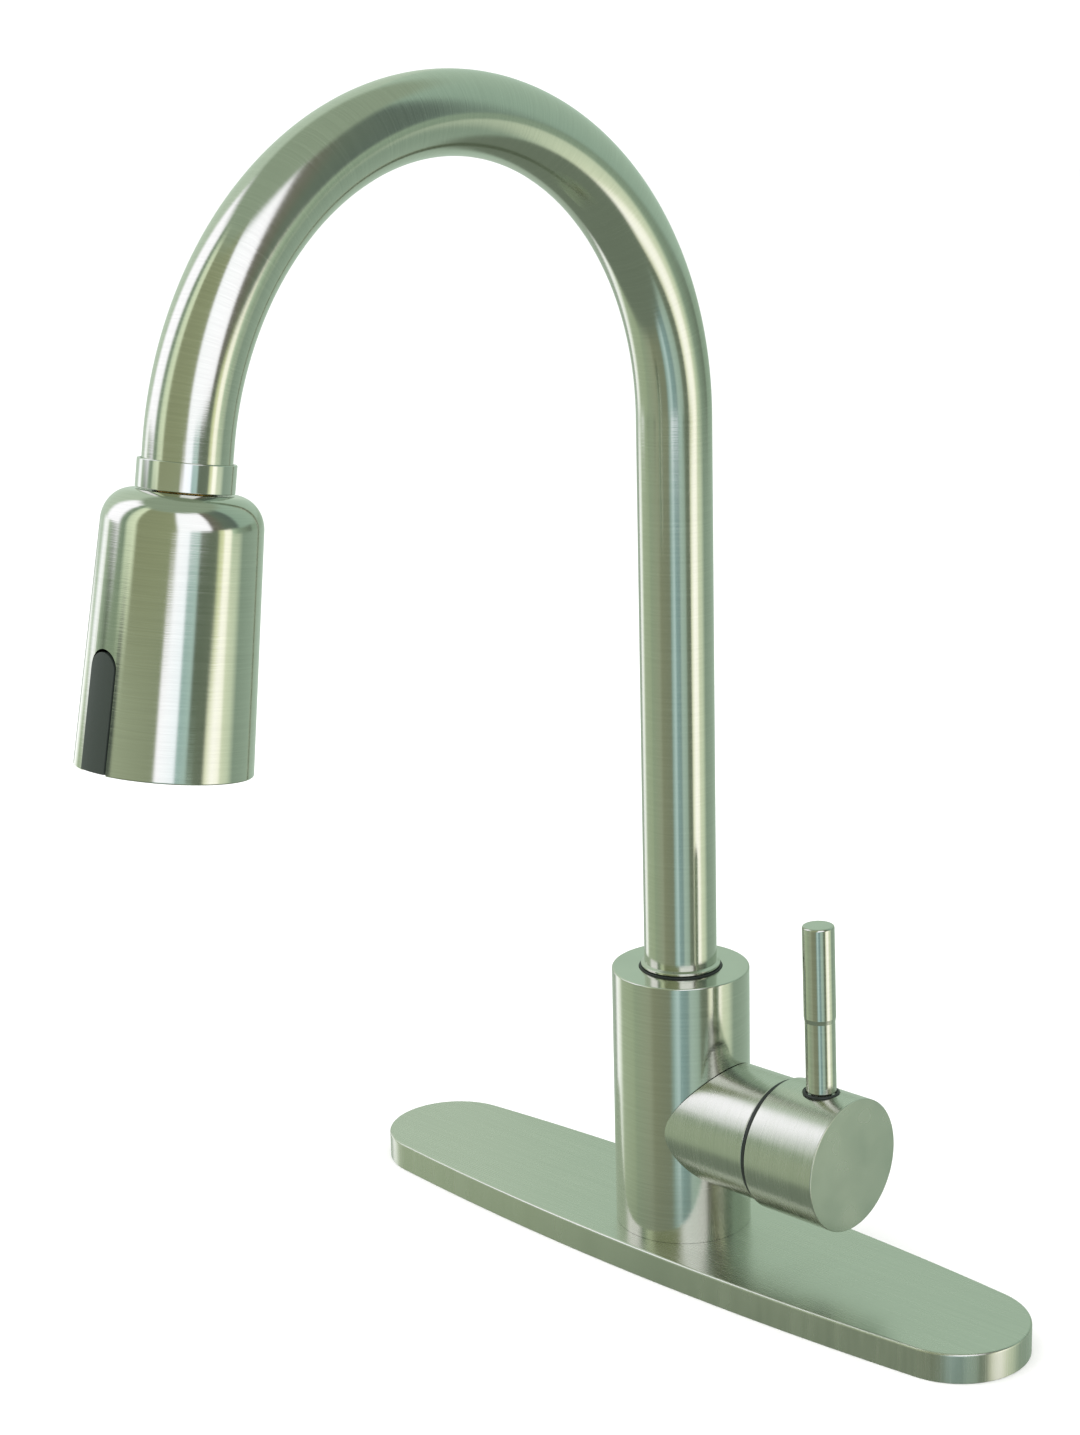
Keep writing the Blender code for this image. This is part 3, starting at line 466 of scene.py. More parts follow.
def hose_braid():
    """Woven nylon sleeve on the spray hose: two sets of strands that cross as they wind round it."""
    look = finishes()
    material, tree, shader = new_material("nylon_braid", look.braid, 0.0, 0.55)
    straight = add_node(tree, "ShaderNodeAttribute", attribute_name="straight").outputs["Vector"]
    part = add_node(tree, "ShaderNodeSeparateXYZ", {0: straight})
    angle = add_node(tree, "ShaderNodeMath", {0: part.outputs[0], 1: part.outputs[1]}, operation="ARCTAN2")
    strands, turn = 12, 42.0 * MM  # strands of one set, and the length in which each goes once round
    around = add_node(tree, "ShaderNodeMath", {0: angle.outputs[0], 1: strands}, operation="MULTIPLY")
    factors = {0: part.outputs[2], 1: 2 * pi * strands / turn}
    along = add_node(tree, "ShaderNodeMath", factors, operation="MULTIPLY")
    waves = []
    for sense in ("ADD", "SUBTRACT"):
        phase = add_node(tree, "ShaderNodeMath", {0: around.outputs[0], 1: along.outputs[0]}, operation=sense)
        waves.append(add_node(tree, "ShaderNodeMath", {0: phase.outputs[0]}, operation="SINE").outputs[0])
    weave = add_node(tree, "ShaderNodeMath", dict(enumerate(waves)), operation="MAXIMUM")
    shade = add_node(tree, "ShaderNodeMapRange", {"Value": weave.outputs[0], "From Min": -0.6, "From Max": 1.0})
    dark = [channel * 0.35 for channel in look.braid]
    ends = {0: shade.outputs[0], 6: (*dark, 1), 7: (*look.braid, 1)}
    tone = add_node(tree, "ShaderNodeMix", ends, data_type="RGBA")
    tree.links.new(tone.outputs[2], shader.inputs["Base Color"])
    bump = add_node(tree, "ShaderNodeBump", {"Height": shade.outputs[0], "Strength": 0.6, "Distance": 0.3 * MM})
    tree.links.new(bump.outputs[0], shader.inputs["Normal"])
    return material


def shared(name):
    """A material by name, made the first time that it is asked for."""
    found = bpy.data.materials.get(name)
    if found is None:
        found = MAKERS[name]()
    return found


MAKERS = {
    # Belt-brushed nickel, with the lines round each piece's own axis
    "nickel_upright": lambda: brushed_nickel("nickel_upright"),
    "nickel_valve": lambda: brushed_nickel("nickel_valve", along="X", roughness=0.24),
    "nickel_head": lambda: brushed_nickel("nickel_head", turn=HEAD.to_euler(), roughness=0.1),
    "nickel_spout": lambda: brushed_nickel("nickel_spout", attribute="straight"),
    # The plate is brushed lengthwise and a little duller
    "nickel_plate": lambda: brushed_nickel("nickel_plate", along="Y", streak=12.0, roughness=0.24),
    "polished_nickel": polished_nickel,
    # Moulded nitrile rubber: near black, matt, with a soft bloom
    "nitrile_rubber": lambda: grained("nitrile_rubber", finishes().rubber, 0.8 * MM, 0.45, 0.03 * MM),
    # Moulded ABS with a satin tool finish
    "abs_button": lambda: grained("abs_button", finishes().button, 0.5 * MM, 0.5, 0.01 * MM, 0.05),
    # Turned brass, slightly dull from its cutting oil
    "turned_brass": lambda: grained("turned_brass", finishes().brass, 1.5 * MM, 0.28, 0.02 * MM, 0.12, 1.0),
    # Stamped stainless steel with a rolled, satin surface
    "stainless_steel": lambda: grained("stainless_steel", finishes().steel, MM, 0.3, 0.01 * MM, 0.12, 1.0),
    # Drawn copper tube, a little oxidised
    "drawn_copper": lambda: grained("drawn_copper", finishes().copper, 4.0 * MM, 0.3, 0.02 * MM, 0.2, 1.0),
    # Moulded acetal: waxy, satin
    "grey_acetal": lambda: grained("grey_acetal", finishes().grey, 0.6 * MM, 0.42, 0.01 * MM, 0.05),
    "white_acetal": lambda: grained("white_acetal", finishes().white, 0.6 * MM, 0.4, 0.01 * MM, 0.03),
    # Lapped alumina: hard, smooth and slightly warm
    "alumina": lambda: grained("alumina", finishes().ceramic, 0.3 * MM, 0.2, 0.002 * MM, 0.02),
    "nylon_braid": hose_braid,
}

SLOT_MATERIALS = {
    "brushed_nickel": "nickel_upright",
    "polished_nickel": "polished_nickel",
    "brass": "turned_brass",
    "stainless_steel": "stainless_steel",
    "black_rubber": "nitrile_rubber",
    "black_plastic": "abs_button",
    "grey_plastic": "grey_acetal",
    "white_plastic": "white_acetal",
    "ceramic": "alumina",
    "hose_braid": "nylon_braid",
    "copper": "drawn_copper",
}


# ---------------------------------------------------------------- deck plate and body


def plate_outline(inset):
    """Deck plate's outline moved inwards: round ends, and shallow side arcs tangent to them."""
    half_length, half_width = box_high("deck_plate").x, box_high("deck_plate").y
    end_radius = 22.9 * MM
    run = half_length - end_radius
    side_radius = (run**2 + half_width**2 - end_radius**2) / (2 * (half_width - end_radius))
    drop = side_radius - half_width
    tangent = atan2(drop, run)
    arcs = (
        (run, 0, end_radius, -tangent, tangent, 40),
        (0, -drop, side_radius, tangent, pi - tangent, 24),
        (-run, 0, end_radius, pi - tangent, pi + tangent, 40),
        (0, drop, side_radius, pi + tangent, 2 * pi - tangent, 24),
    )
    points = []
    for x, y, radius, start, end, steps in arcs:
        angles = [start + (end - start) * step / steps for step in range(steps)]
        points += [(x + (radius - inset) * cos(a), y + (radius - inset) * sin(a)) for a in angles]
    return points


def build_deck_plate():
    """Pressed plate: a skin 1.2 mm thick with a rolled top edge, open below."""
    top, wall = box_high("deck_plate").z, 1.2 * MM
    shape = bmesh.new()
    base = shape.faces.new([shape.verts.new((x, y, 0)) for x, y in plate_outline(0)])
    raised = bmesh.ops.extrude_face_region(shape, geom=[base])["geom"]
    lifted = [item for item in raised if isinstance(item, bmesh.types.BMVert)]
    rim = [item for item in raised if isinstance(item, bmesh.types.BMEdge)]
    bmesh.ops.translate(shape, verts=lifted, vec=(0, 0, top))
    bmesh.ops.bevel(
        shape, geom=rim, offset=sizes().plate_edge, affect="EDGES", segments=5, profile=0.5, material=-1
    )
    bmesh.ops.recalc_face_normals(shape, faces=shape.faces)
    hollow = slab(plate_outline(wall), -1 * MM, top - wall)
    hole = rod(17.2 * MM, (0, 0, -2 * MM), (0, 0, 2 * top), facets=96)
    shape = boolean(shape, hollow, hole)
    add_piece("deck_plate_skin", shape, "nickel_plate", "base", ["deck_plate"])


def build_body():
    """Upright body: a deep-drawn shell with a window for the valve, closed by a lid with the spout's ring."""
    low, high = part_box("body_shell")
    low.z = box_high("deck_plate").z + 0.05 * MM
    radius, wall, lid = high.y, 1.8 * MM, 2.4 * MM
    hole = 13.2 * MM
    outline = (
        (radius - wall, low.z),
        (radius, low.z),
        (radius, high.z, 0.5 * MM),
        (hole, high.z, 0.2 * MM),
        (hole, high.z - lid),
        (radius - wall, high.z - lid),
    )
    window = rod(VALVE_BORE, (4 * MM, 0, VALVE_HEIGHT), (30 * MM, 0, VALVE_HEIGHT), facets=96)
    shape = boolean(lathe(outline), window)
    add_piece("body_skin", shape, "nickel_upright", "base", ["body_shell"])
    low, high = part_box("trim_ring")
    inner = TUBE_RADIUS + 0.3 * MM
    outer = hole - 0.05 * MM
    ring = ((inner, low.z), (outer, low.z), (outer, high.z, 0.15 * MM), (inner, high.z, 0.3 * MM))
    seal = lathe(ring, facets=96)
    add_piece("trim_seal", seal, "nitrile_rubber", "base", ["trim_ring"])


def build_housing():
    """Valve drum, cut to saddle the upright body, and the dark ring in the gap before the handle."""
    end = box_high("valve_housing").x - 0.65 * MM
    radius, start = box_high("valve_housing").y, 6 * MM
    outline = (
        (VALVE_BORE, start),
        (radius, start),
        (radius, end, sizes().edge),
        (VALVE_BORE, end, 0.2 * MM),
    )
    body = box_high("body_shell").y + 0.3 * MM
    saddle = rod(body, (0, 0, 10 * MM), (0, 0, 90 * MM), facets=sizes().facets)
    shape = boolean(lathe(outline, VALVE), saddle)
    add_piece("valve_drum", shape, "nickel_valve", "base", ["valve_housing"])
    low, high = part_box("gap_ring")
    hole, step, neck, rim = 12.6 * MM, 18.2 * MM, 18.6 * MM, 19.85 * MM
    ring = (
        (hole, low.x + 1.0 * MM),
        (step, low.x + 1.0 * MM),
        (step, low.x - 0.85 * MM),
        (rim, low.x - 0.85 * MM),
        (rim, low.x + 0.2 * MM, 0.2 * MM),
        (neck, low.x + 1.3 * MM),
        (neck, high.x),
        (hole, high.x),
    )
    seal = lathe(ring, VALVE, 96)
    add_piece("gap_seal", seal, "nitrile_rubber", "base", ["gap_ring"])


# ---------------------------------------------------------------- handle


def build_hub():
    """Handle hub: a turned drum with a flat end, hollow towards the valve, bored for stem, lever and screw."""
    low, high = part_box("handle_hub")
    radius, edge = high.y, sizes().edge
    hollow, mouth = 18.8 * MM, 19.5 * MM
    outline = (
        (0, 51 * MM),
        (hollow, 51 * MM),
        (hollow, 46.4 * MM),
        (mouth, 45.7 * MM),
        (mouth, low.x, 0.15 * MM),
        (radius, low.x, edge),
        (radius, high.x, edge),
        (0, high.x),
    )
    stem = slab(rectangle(-3.3 * MM, 3.3 * MM, -3.6 * MM, 3.6 * MM), 50 * MM, 62 * MM, VALVE)
    stud = rod(3.2 * MM, (0, 0, -8.7 * MM), (0, 0, 9 * MM), LEVER, 32)
    spotface = rod(5.9 * MM, (0, 0, 0), (0, 0, 9 * MM), LEVER, 64)
    screw = rod(2.8 * MM, (2 * MM, 0, 57 * MM), (30 * MM, 0, 57 * MM), VALVE, 32)
    shape = boolean(lathe(outline, VALVE), stem, stud, spotface, screw)
    add_piece("hub_skin", shape, "nickel_valve", "handle", ["handle_hub"])


def build_lever():
    """Lever pin: a slim foot in the hub, a neck and a thicker grip, standing on a rubber ring."""
    foot, neck, grip = 2.9, 4.7, 4.95
    outline = mm(
        (0, -8.4),
        (foot, -8.4, 0.4),
        (foot, 1.4),
        (neck, 1.4, 0.25),
        (neck, 23.9, 0.3),
        (grip, 25.3, 0.3),
        (grip, 54.4, 0.8),
        (0, 54.4),
    )
    shape = lathe(outline, LEVER, 96)
    add_piece("lever_pin", shape, "nickel_upright", "handle", ["lever"])
    ring = o_ring(5.15 * MM, 0.65 * MM, 0.5 * MM, LEVER, 64)
    add_piece("lever_ring", ring, "nitrile_rubber", "handle", ["lever_oring"])


# ---------------------------------------------------------------- spout


SETTLE = 70 * MM  # the stretch of the leg in which the hose comes back to the middle


def hose_offset(run):
    """How far the hose lies outside the tube's centreline, a run back from the end of the arch."""
    ease = 18.3 * MM
    most = ease**2 / ARCH_RADIUS
    if run <= ease:
        return run**2 / (2 * ARCH_RADIUS)
    if run <= 2 * ease:
        return most - (2 * ease - run) ** 2 / (2 * ARCH_RADIUS)
    part = min(max((run - ARCH_LENGTH) / SETTLE, 0.0), 1.0)
    return most * (1 - part * part * (3 - 2 * part))


def spout_point(run, offset=0.0):
    """Point and direction of the spout's centreline, a run back from the end of the arch, moved outwards."""
    if run < 0:
        return HEAD_ORIGIN - HEAD_AXIS * run, HEAD_AXIS
    if run > ARCH_LENGTH:
        return Vector((0, offset, ARCH_START - (run - ARCH_LENGTH))), Vector((0, 0, 1))
    angle = ARCH_SWEEP - run / ARCH_RADIUS
    radius = ARCH_RADIUS + offset
    point = Vector((0, -ARCH_RADIUS + radius * cos(angle), ARCH_START + radius * sin(angle)))
    return point, Vector((0, -sin(angle), cos(angle)))


def swept(stations, radius, facets, runs):
    """Open tube through stations of a point and a direction.

    Its attribute "straight" holds its coordinates as if it were straight, where runs gives the heights.
    """
    shape = bmesh.new()
    straight = shape.verts.layers.float_vector.new("straight")
    ring = bmesh.ops.create_circle(shape, segments=facets, radius=radius)["verts"]
    flat = [vert.co.copy() for vert in ring]
    edges = shape.edges[:]
    for index, ((point, direction), run) in enumerate(zip(stations, runs)):
        if index:
            made = bmesh.ops.extrude_edge_only(shape, edges=edges)["geom"]
            edges = [item for item in made if isinstance(item, bmesh.types.BMEdge)]
            ring = next_ring(ring, made)
        side = Vector((1, 0, 0))
        up = direction.cross(side)
        for vert, place in zip(ring, flat):
            vert.co = point + side * place.x + up * place.y
            vert[straight] = (place.x, place.y, run)
    bmesh.ops.recalc_face_normals(shape, faces=shape.faces)
    return shape


def next_ring(ring, made):
    """The extruded copies of a ring's vertices, in the ring's order."""
    fresh = {item for item in made if isinstance(item, bmesh.types.BMVert)}
    ahead = [[edge.other_vert(vert) for edge in vert.link_edges] for vert in ring]
    return [next(vert for vert in near if vert in fresh) for near in ahead]


def build_spout():
    """Gooseneck of drawn steel tube, 1.2 mm thick."""
    tail = 9.0 * MM
    foot = ARCH_LENGTH + ARCH_START - box_low("spout_tube").z
    steps = 120
    runs = [-tail, *(ARCH_LENGTH * step / steps for step in range(steps + 1)), foot]
    shape = swept([spout_point(run) for run in runs], TUBE_RADIUS, 64, runs)
    bmesh.ops.solidify(shape, geom=shape.faces[:], thickness=1.2 * MM)
    add_piece("gooseneck", shape, "nickel_spout", "spout", ["spout_tube"])


def build_ferrule():
    """Thin ring on the spout's foot, with a sloped top, that turns with it over the body's seal."""
    low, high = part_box("spout_ferrule")
    inner = TUBE_RADIUS - 0.3 * MM
    outline = (
        (inner, low.z),
        (high.x, low.z, 0.1 * MM),
        (high.x, high.z - 0.5 * MM, 0.2 * MM),
        (TUBE_RADIUS + 0.1 * MM, high.z, 0.1 * MM),
        (inner, high.z),
    )
    shape = lathe(outline, facets=96)
    add_piece("spout_ring", shape, "nickel_upright", "spout", ["spout_ferrule"])


def build_collar():
    """Polished collar that the spray head docks against."""
    start, end = 4.6 * MM, 12.0 * MM
    radius, bore, lip = 12.6 * MM, 8.3 * MM, 9.3 * MM
    outline = (
        (TUBE_RADIUS + 0.3 * MM, -start, 0.1 * MM),
        (radius, -start, 0.25 * MM),
        (radius, -end, 0.25 * MM),
        (bore, -end, 0.2 * MM),
        (bore, -lip),
        (TUBE_RADIUS + 0.3 * MM, -lip),
    )
    shape = lathe(outline, HEAD, 128)
    add_piece("dock_collar", shape, "polished_nickel", "spout", ["docking_collar"])


def capped(shape):
    """The same tube with its open ends filled."""
    bmesh.ops.holes_fill(shape, edges=[edge for edge in shape.edges if edge.is_boundary], sides=0)
    bmesh.ops.recalc_face_normals(shape, faces=shape.faces)
    return shape


def build_hose():
    """Braided spray hose: the stretch that stays in the spout, and the stretch that comes out with the head
    when it is pulled, made here in place and riding no body.
    """
    radius = 5.75 * MM
    joint, end = 17.3 * MM, 7.0 * MM
    foot = ARCH_LENGTH + ARCH_START - box_low("spray_hose").z
    arch = [joint + (ARCH_LENGTH - joint) * step / 60 for step in range(60)]
    leg = [ARCH_LENGTH + SETTLE * step / 12 for step in range(13)]
    runs = [*arch, *leg, foot]
    stations = [spout_point(run, hose_offset(run)) for run in runs]
    shape = capped(swept(stations, radius, 24, runs))
    add_piece("hose_inside", shape, "nylon_braid", "spout", ["spray_hose"])
    pull = JOINTS["spray_pull"]["range_m"][1]
    count = 80
    parts = [step / count for step in range(count + 1)]
    stations = [(HEAD_ORIGIN - HEAD_AXIS * (joint + (end - joint) * part), HEAD_AXIS) for part in parts]
    # Along the piece the full pull is spread with a smoothstep in the braid's coordinates, so the braid keeps
    # its pitch once the piece is stretched by the pull; nothing here stretches it
    drawn = [joint - part * (joint - end) - pull * part * part * (3 - 2 * part) for part in parts]
    shape = capped(swept(stations, radius, 24, drawn))
    piece = add_object("hose_pulled", shape, shared("nylon_braid"))
    piece.data.shade_smooth()
    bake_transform(piece)


# ---------------------------------------------------------------- spray head


def head_radius(distance):
    """Radius of the head's cone at a distance down its axis."""
    taper = (HEAD_BOTTOM_RADIUS - HEAD_SHOULDER_RADIUS) / (HEAD_BOTTOM - HEAD_SHOULDER)
    return HEAD_SHOULDER_RADIUS + taper * (distance - HEAD_SHOULDER)


def shoulder(wall, steps):
    """Rounded shoulder from the head's flat top to its cone, moved inwards by a wall."""
    across = HEAD_SHOULDER_RADIUS - HEAD_FLAT_RADIUS - wall
    drop = HEAD_SHOULDER - HEAD_TOP - wall
    angles = [pi / 2 * step / steps for step in range(steps + 1)]
    return [(HEAD_FLAT_RADIUS + across * sin(a), -(HEAD_SHOULDER - drop * cos(a))) for a in angles]


def slot_outline(half_width, top, bottom):
    """Outline across and up the head's face, round at its top."""
    angles = [pi * step / 32 for step in range(33)]
    arc = [(half_width * cos(a), -(top + half_width) + half_width * sin(a)) for a in angles]
    return [*arc, (-half_width, -bottom), (half_width, -bottom)]


FRONT = HEAD @ Matrix.Rotation(pi / 2, 4, "X")  # its Z axis points out of the head's front


def build_spray_shell():
    """Shell of the spray head: a shallow cone with a full round shoulder and a slot for the button."""
    mouth = 7.8 * MM
    outline = [
        *shoulder(0, 20),
        (head_radius(HEAD_BOTTOM), -HEAD_BOTTOM, 0.4 * MM),
        (head_radius(HEAD_BOTTOM) - HEAD_WALL, -HEAD_BOTTOM, 0.3 * MM),
        *reversed(shoulder(HEAD_WALL, 12)),
        (mouth, -(HEAD_TOP + HEAD_WALL)),
        (mouth, -HEAD_TOP, 0.3 * MM),
    ]
    slot = slab(slot_outline(SLOT_HALF_WIDTH, SLOT_TOP, 90 * MM), 10 * MM, 30 * MM, FRONT)
    shape = boolean(lathe(outline, HEAD), slot)
    add_piece("head_shell", shape, "nickel_head", "spray_head", ["spray_shell"], sharp=40)


def build_rocker():
    """Rocker button: the slot's outline cut to the head's own curve, on a lug for its pin."""
    half_width = SLOT_HALF_WIDTH - ROCKER_GAP
    outline = slot_outline(half_width, SLOT_TOP + 2 * ROCKER_GAP, ROCKER_BOTTOM)
    proud = 0.25 * MM
    top, bottom = 40 * MM, 90 * MM
    ends = [(head_radius(at) + proud, -at) for at in (top, bottom)]
    cone = lathe([(0, -top), *ends, (0, -bottom)], HEAD)
    plate = boolean(slab(outline, ROCKER_DEPTH, 24 * MM, FRONT), cone, operation="INTERSECT")
    pivot, depth = 68 * MM, 15 * MM
    face = rectangle(-3.4 * MM, 3.4 * MM, -pivot - 3 * MM, -pivot + 3 * MM)
    lug = slab(face, 13.2 * MM, 18.3 * MM, FRONT)
    hole = rod(1.3 * MM, (-5 * MM, -depth, -pivot), (5 * MM, -depth, -pivot), HEAD, 24)
    shape = boolean(boolean(plate, lug, operation="UNION"), hole)
    nodes = ["mode_rocker"]
    piece = add_piece("rocker_button", shape, "abs_button", "rocker", nodes, sharp=40)
    soften = piece.modifiers.new("Soft edges", "BEVEL")
    soften.width = 0.25 * MM
    soften.segments = 2
    soften.limit_method = "ANGLE"
    soften.angle_limit = radians(50)
    piece.modifiers.move(1, 0)


def build_spray_face():
    """Spray face: a dished black plate, a rubber ring of nozzles and the aerator's grid in its middle."""
    top, bottom = 77.6 * MM, NOZZLE_BOTTOM
    hole, rim, dish = 9.8 * MM, 21.2 * MM, 0.7 * MM
    outline = (
        (hole, -top),
        (rim, -top),
        (rim, -bottom, 0.3 * MM),
        (17.5 * MM, -bottom, 0.6 * MM),
        (16.3 * MM, -bottom + dish, 0.6 * MM),
        (hole, -bottom + dish, 0.3 * MM),
    )
    notch = slab(rectangle(-5.4 * MM, 5.4 * MM, -90 * MM, -70 * MM), 15.5 * MM, 30 * MM, FRONT)
    shape = boolean(lathe(outline, HEAD, 128), notch)
    add_piece("spray_plate", shape, "abs_button", "spray_head", ["nozzle_plate"])

    face = bottom - 0.4 * MM
    inner, outer, under = 11.3 * MM, 15 * MM, face + 0.6 * MM
    outline = ((inner, -face), (outer, -face), (outer, -under, 0.2 * MM), (inner, -under, 0.2 * MM))
    ring = lathe(outline, HEAD, 96)
    jet, circle, root, tip = 0.35 * MM, 13.15 * MM, face + 0.3 * MM, face + 1.5 * MM
    outline = ((jet, -root), (1.05 * MM, -root), (0.75 * MM, -tip, 0.12 * MM), (jet, -tip, 0.08 * MM))
    nipples = []
    for index in range(sizes().nozzles):
        angle = 2 * pi * index / sizes().nozzles
        place = HEAD @ Matrix.Translation((circle * cos(angle), circle * sin(angle), 0))
        nipples.append(lathe(outline, place, 16, 2))
    shape = joined(ring, *nipples)
    add_piece("nozzle_rubber", shape, "grey_acetal", "spray_head", ["nozzle_ring"])

    outline = mm((0, -78.5), (9.4, -78.5), (9.4, -83.0, 0.3), (8.2, -83.0, 0.2), (8.2, -81.6), (0, -81.6))
    rim = lathe(outline, HEAD, 96)
    bars = []
    bar, spacing, bottom, top = 0.22 * MM, 1.7, -82.5 * MM, -81.4 * MM
    for index in range(-4, 5):
        at = index * spacing * MM
        reach = (8.3**2 - (index * spacing) ** 2) ** 0.5 * MM
        bars.append(slab(rectangle(at - bar, at + bar, -reach, reach), bottom, top, HEAD))
        bars.append(slab(rectangle(-reach, reach, at - bar, at + bar), bottom + 0.05 * MM, top, HEAD))
    shape = joined(rim, *bars)
    add_piece("aerator_grid", shape, "white_acetal", "spray_head", ["aerator"])


# ---------------------------------------------------------------- under the deck


def build_shank():
    """Threaded shank: a brass tube with a helical thread below the deck."""
    low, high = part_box("shank")
    radius, bore = high.x, 14.8 * MM
    depth, pitch = sizes().thread_depth, sizes().thread_pitch
    root = radius - depth
    outline = (
        (bore, low.z, 0.3 * MM),
        (root, low.z, 0.5 * MM),
        (root, -3 * MM),
        (radius, -2 * MM),
        (radius, high.z),
        (bore, high.z),
    )
    core = lathe(outline, facets=96)
    thread = bmesh.new()
    start = low.z + 1.2 * MM
    inside, crest = root - 0.3 * MM, radius - 0.1 * MM
    corners = ((inside, 0), (crest, pitch * 0.42), (crest, pitch * 0.58), (inside, pitch))
    verts = [thread.verts.new((r, 0, start + z)) for r, z in corners]
    section = thread.faces.new(verts)
    turns = int((-4 * MM - start) / pitch)
    bmesh.ops.spin(
        thread,
        geom=[section, *section.edges, *verts],
        cent=(0, 0, 0),
        axis=(0, 0, 1),
        dvec=(0, 0, pitch / 36),
        angle=2 * pi * turns,
        steps=36 * turns,
    )
    shape = joined(core, capped(thread))
    add_piece("threaded_shank", shape, "turned_brass", "base", ["shank"])


def build_clamp():
    """Washers and the hexagon nut that pull the faucet down."""
    inner = 16.8 * MM
    low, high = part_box("rubber_washer")
    outline = ((inner, low.z), (high.x, low.z, 0.5 * MM), (high.x, high.z, 0.5 * MM), (inner, high.z))
    rubber = lathe(outline, facets=96)
    add_piece("washer_rubber", rubber, "nitrile_rubber", "clamp", ["rubber_washer"])
    low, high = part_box("steel_washer")
    outline = ((inner, low.z), (high.x, low.z, 0.2 * MM), (high.x, high.z, 0.5 * MM), (inner, high.z))
    steel = lathe(outline, facets=96)
    add_piece("washer_steel", steel, "stainless_steel", "clamp", ["steel_washer"])
    low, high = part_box("mounting_nut")
    corner = high.x
    hexagon = [(corner * cos(pi * step / 3), corner * sin(pi * step / 3)) for step in range(6)]
    flat = corner * cos(pi / 6)
    blank = lathe(
        (
            (inner, low.z, 0.5 * MM),
            (flat + 1.2 * MM, low.z),
            (corner, low.z + 1.6 * MM),
            (corner, high.z - 1.6 * MM),
            (flat + 1.2 * MM, high.z),
            (inner, high.z, 0.5 * MM),
        ),
        facets=96,
    )
    nut = boolean(blank, slab(hexagon, low.z - MM, high.z + MM), operation="INTERSECT")
    add_piece("hexagon_nut", nut, "turned_brass", "clamp", ["mounting_nut"])


def finish_kept_nodes():
    """Gives each CAD node that still shows the material of its slot."""
    for name, node in frame["nodes"].items():
        material = shared(SLOT_MATERIALS[SLOTS[name]])
        if not node.material_slots:
            node.data.materials.append(material)
        for entry in node.material_slots:
            entry.material = material


# ---------------------------------------------------------------- stage

# A round wall stands about the faucet, and only the metal sees it. It has three rows of bands, one over
# another. A band runs by azimuth in degrees from the camera, left negative: (from, to, colour, colour at the
# end). The colours are what the nickel shows, so each is divided by the nickel's own.
WALL_CENTRE = Vector((0, -0.08, 0.15))
WALL_RADIUS = 0.9
WALL_LOW, WALL_HIGH = -0.85, 1.8
LOW_BANDS = (
    (-180, -150, "9AAA94", "8B9984"),
    (-142, -132, "F2F6EC", "DDE6D2"),
    (-124, -94, "9AA98A", "94A383"),
    (-90, -58, "8A9A7D", "8C957A"),
    (-50, -19, "7C8368", "747C64"),
    (-15, -4, "86A094", "B4CCC4"),
    (-1, 12, "7F9C95", "778F87"),
    (16, 30, "9FB5A5", "93A895"),
    (35, 46, "6A7661", "5B6653"),
    (50, 57, "DDE2C0", "FAFBE6"),
    (60, 70, "FFFFF0", "F8F9E2"),
    (74, 86, "CCD5B4", "BCC9AA"),
    (97, 180, "7F927D", "9BAE97"),
)
MID_BANDS = (
    (-180, -128, "9FB09A", "ABBBA4"),
    (-118, -110, "F4F8F2", "E8EEE2"),
    (-106, -92, "98AA8F", "62705B"),
    (-86, -68, "809176", "7D8E72"),
    (-65, -63, "38403A", "38403A"),
    (-60, -12, "939E80", "838D70"),
    (-9, 11, "FFFFFF", "F2FAFA"),
    (14, 24, "93AFA6", "A2BBAF"),
    (28, 50, "5A6652", "626E5A"),
    (55, 60, "BFC896", "D6DBAC"),
    (63, 72, "FFFFE8", "FAFBE0"),
    (76, 84, "A9BD9F", "8DA184"),
    (88, 116, "7F937B", "64725F"),
    (122, 180, "82977F", "92A68D"),
)
HIGH_BANDS = (
    (-180, -122, "A6B89F", "AEBEA6"),
    (-113, -88, "FFFFFF", "FFFFFF"),
    (-82, -76, "82947C", "72856E"),
    (-70, -60, "C6D4B2", "D4E0BC"),
    (-55, -6, "828A68", "87906C"),
    (-1, 40, "FCFFFE", "FFFFFF"),
    (45, 56, "68665A", "646756"),
    (66, 86, "5D6B5A", "566459"),
    (94, 180, "8AA28D", "9EB39B"),
)
TOP_COLOUR = "86967D"
FLOOR_COLOUR = "66725F"
# Each row with the two heights, from WALL_CENTRE, between which it takes over; the last one is the top colour
WALL_ROWS = ((LOW_BANDS, -0.72, -0.5), (MID_BANDS, -0.05, 0.03), (HIGH_BANDS, 0.13, 0.23), (None, 1.15, 1.7))


def seen_in_nickel(hex_colour):
    """Light that shows as this colour in nickel, as four channels."""
    return (*[value / own for value, own in zip(linear(hex_colour), finishes().nickel)], 1)


def fill_ramp(ramp, bands):
    """Sets a colour ramp over a full turn of azimuth from a row of bands."""
    stops = [stop for start, end, first, last in bands for stop in ((start, first), (end, last))]
    while len(ramp.elements) > 1:
        ramp.elements.remove(ramp.elements[-1])
    for index, (azimuth, hex_colour) in enumerate(stops):
        position = (azimuth + 180) / 360
        element = ramp.elements[0] if index == 0 else ramp.elements.new(position)
        element.position = position
        element.color = seen_in_nickel(hex_colour)


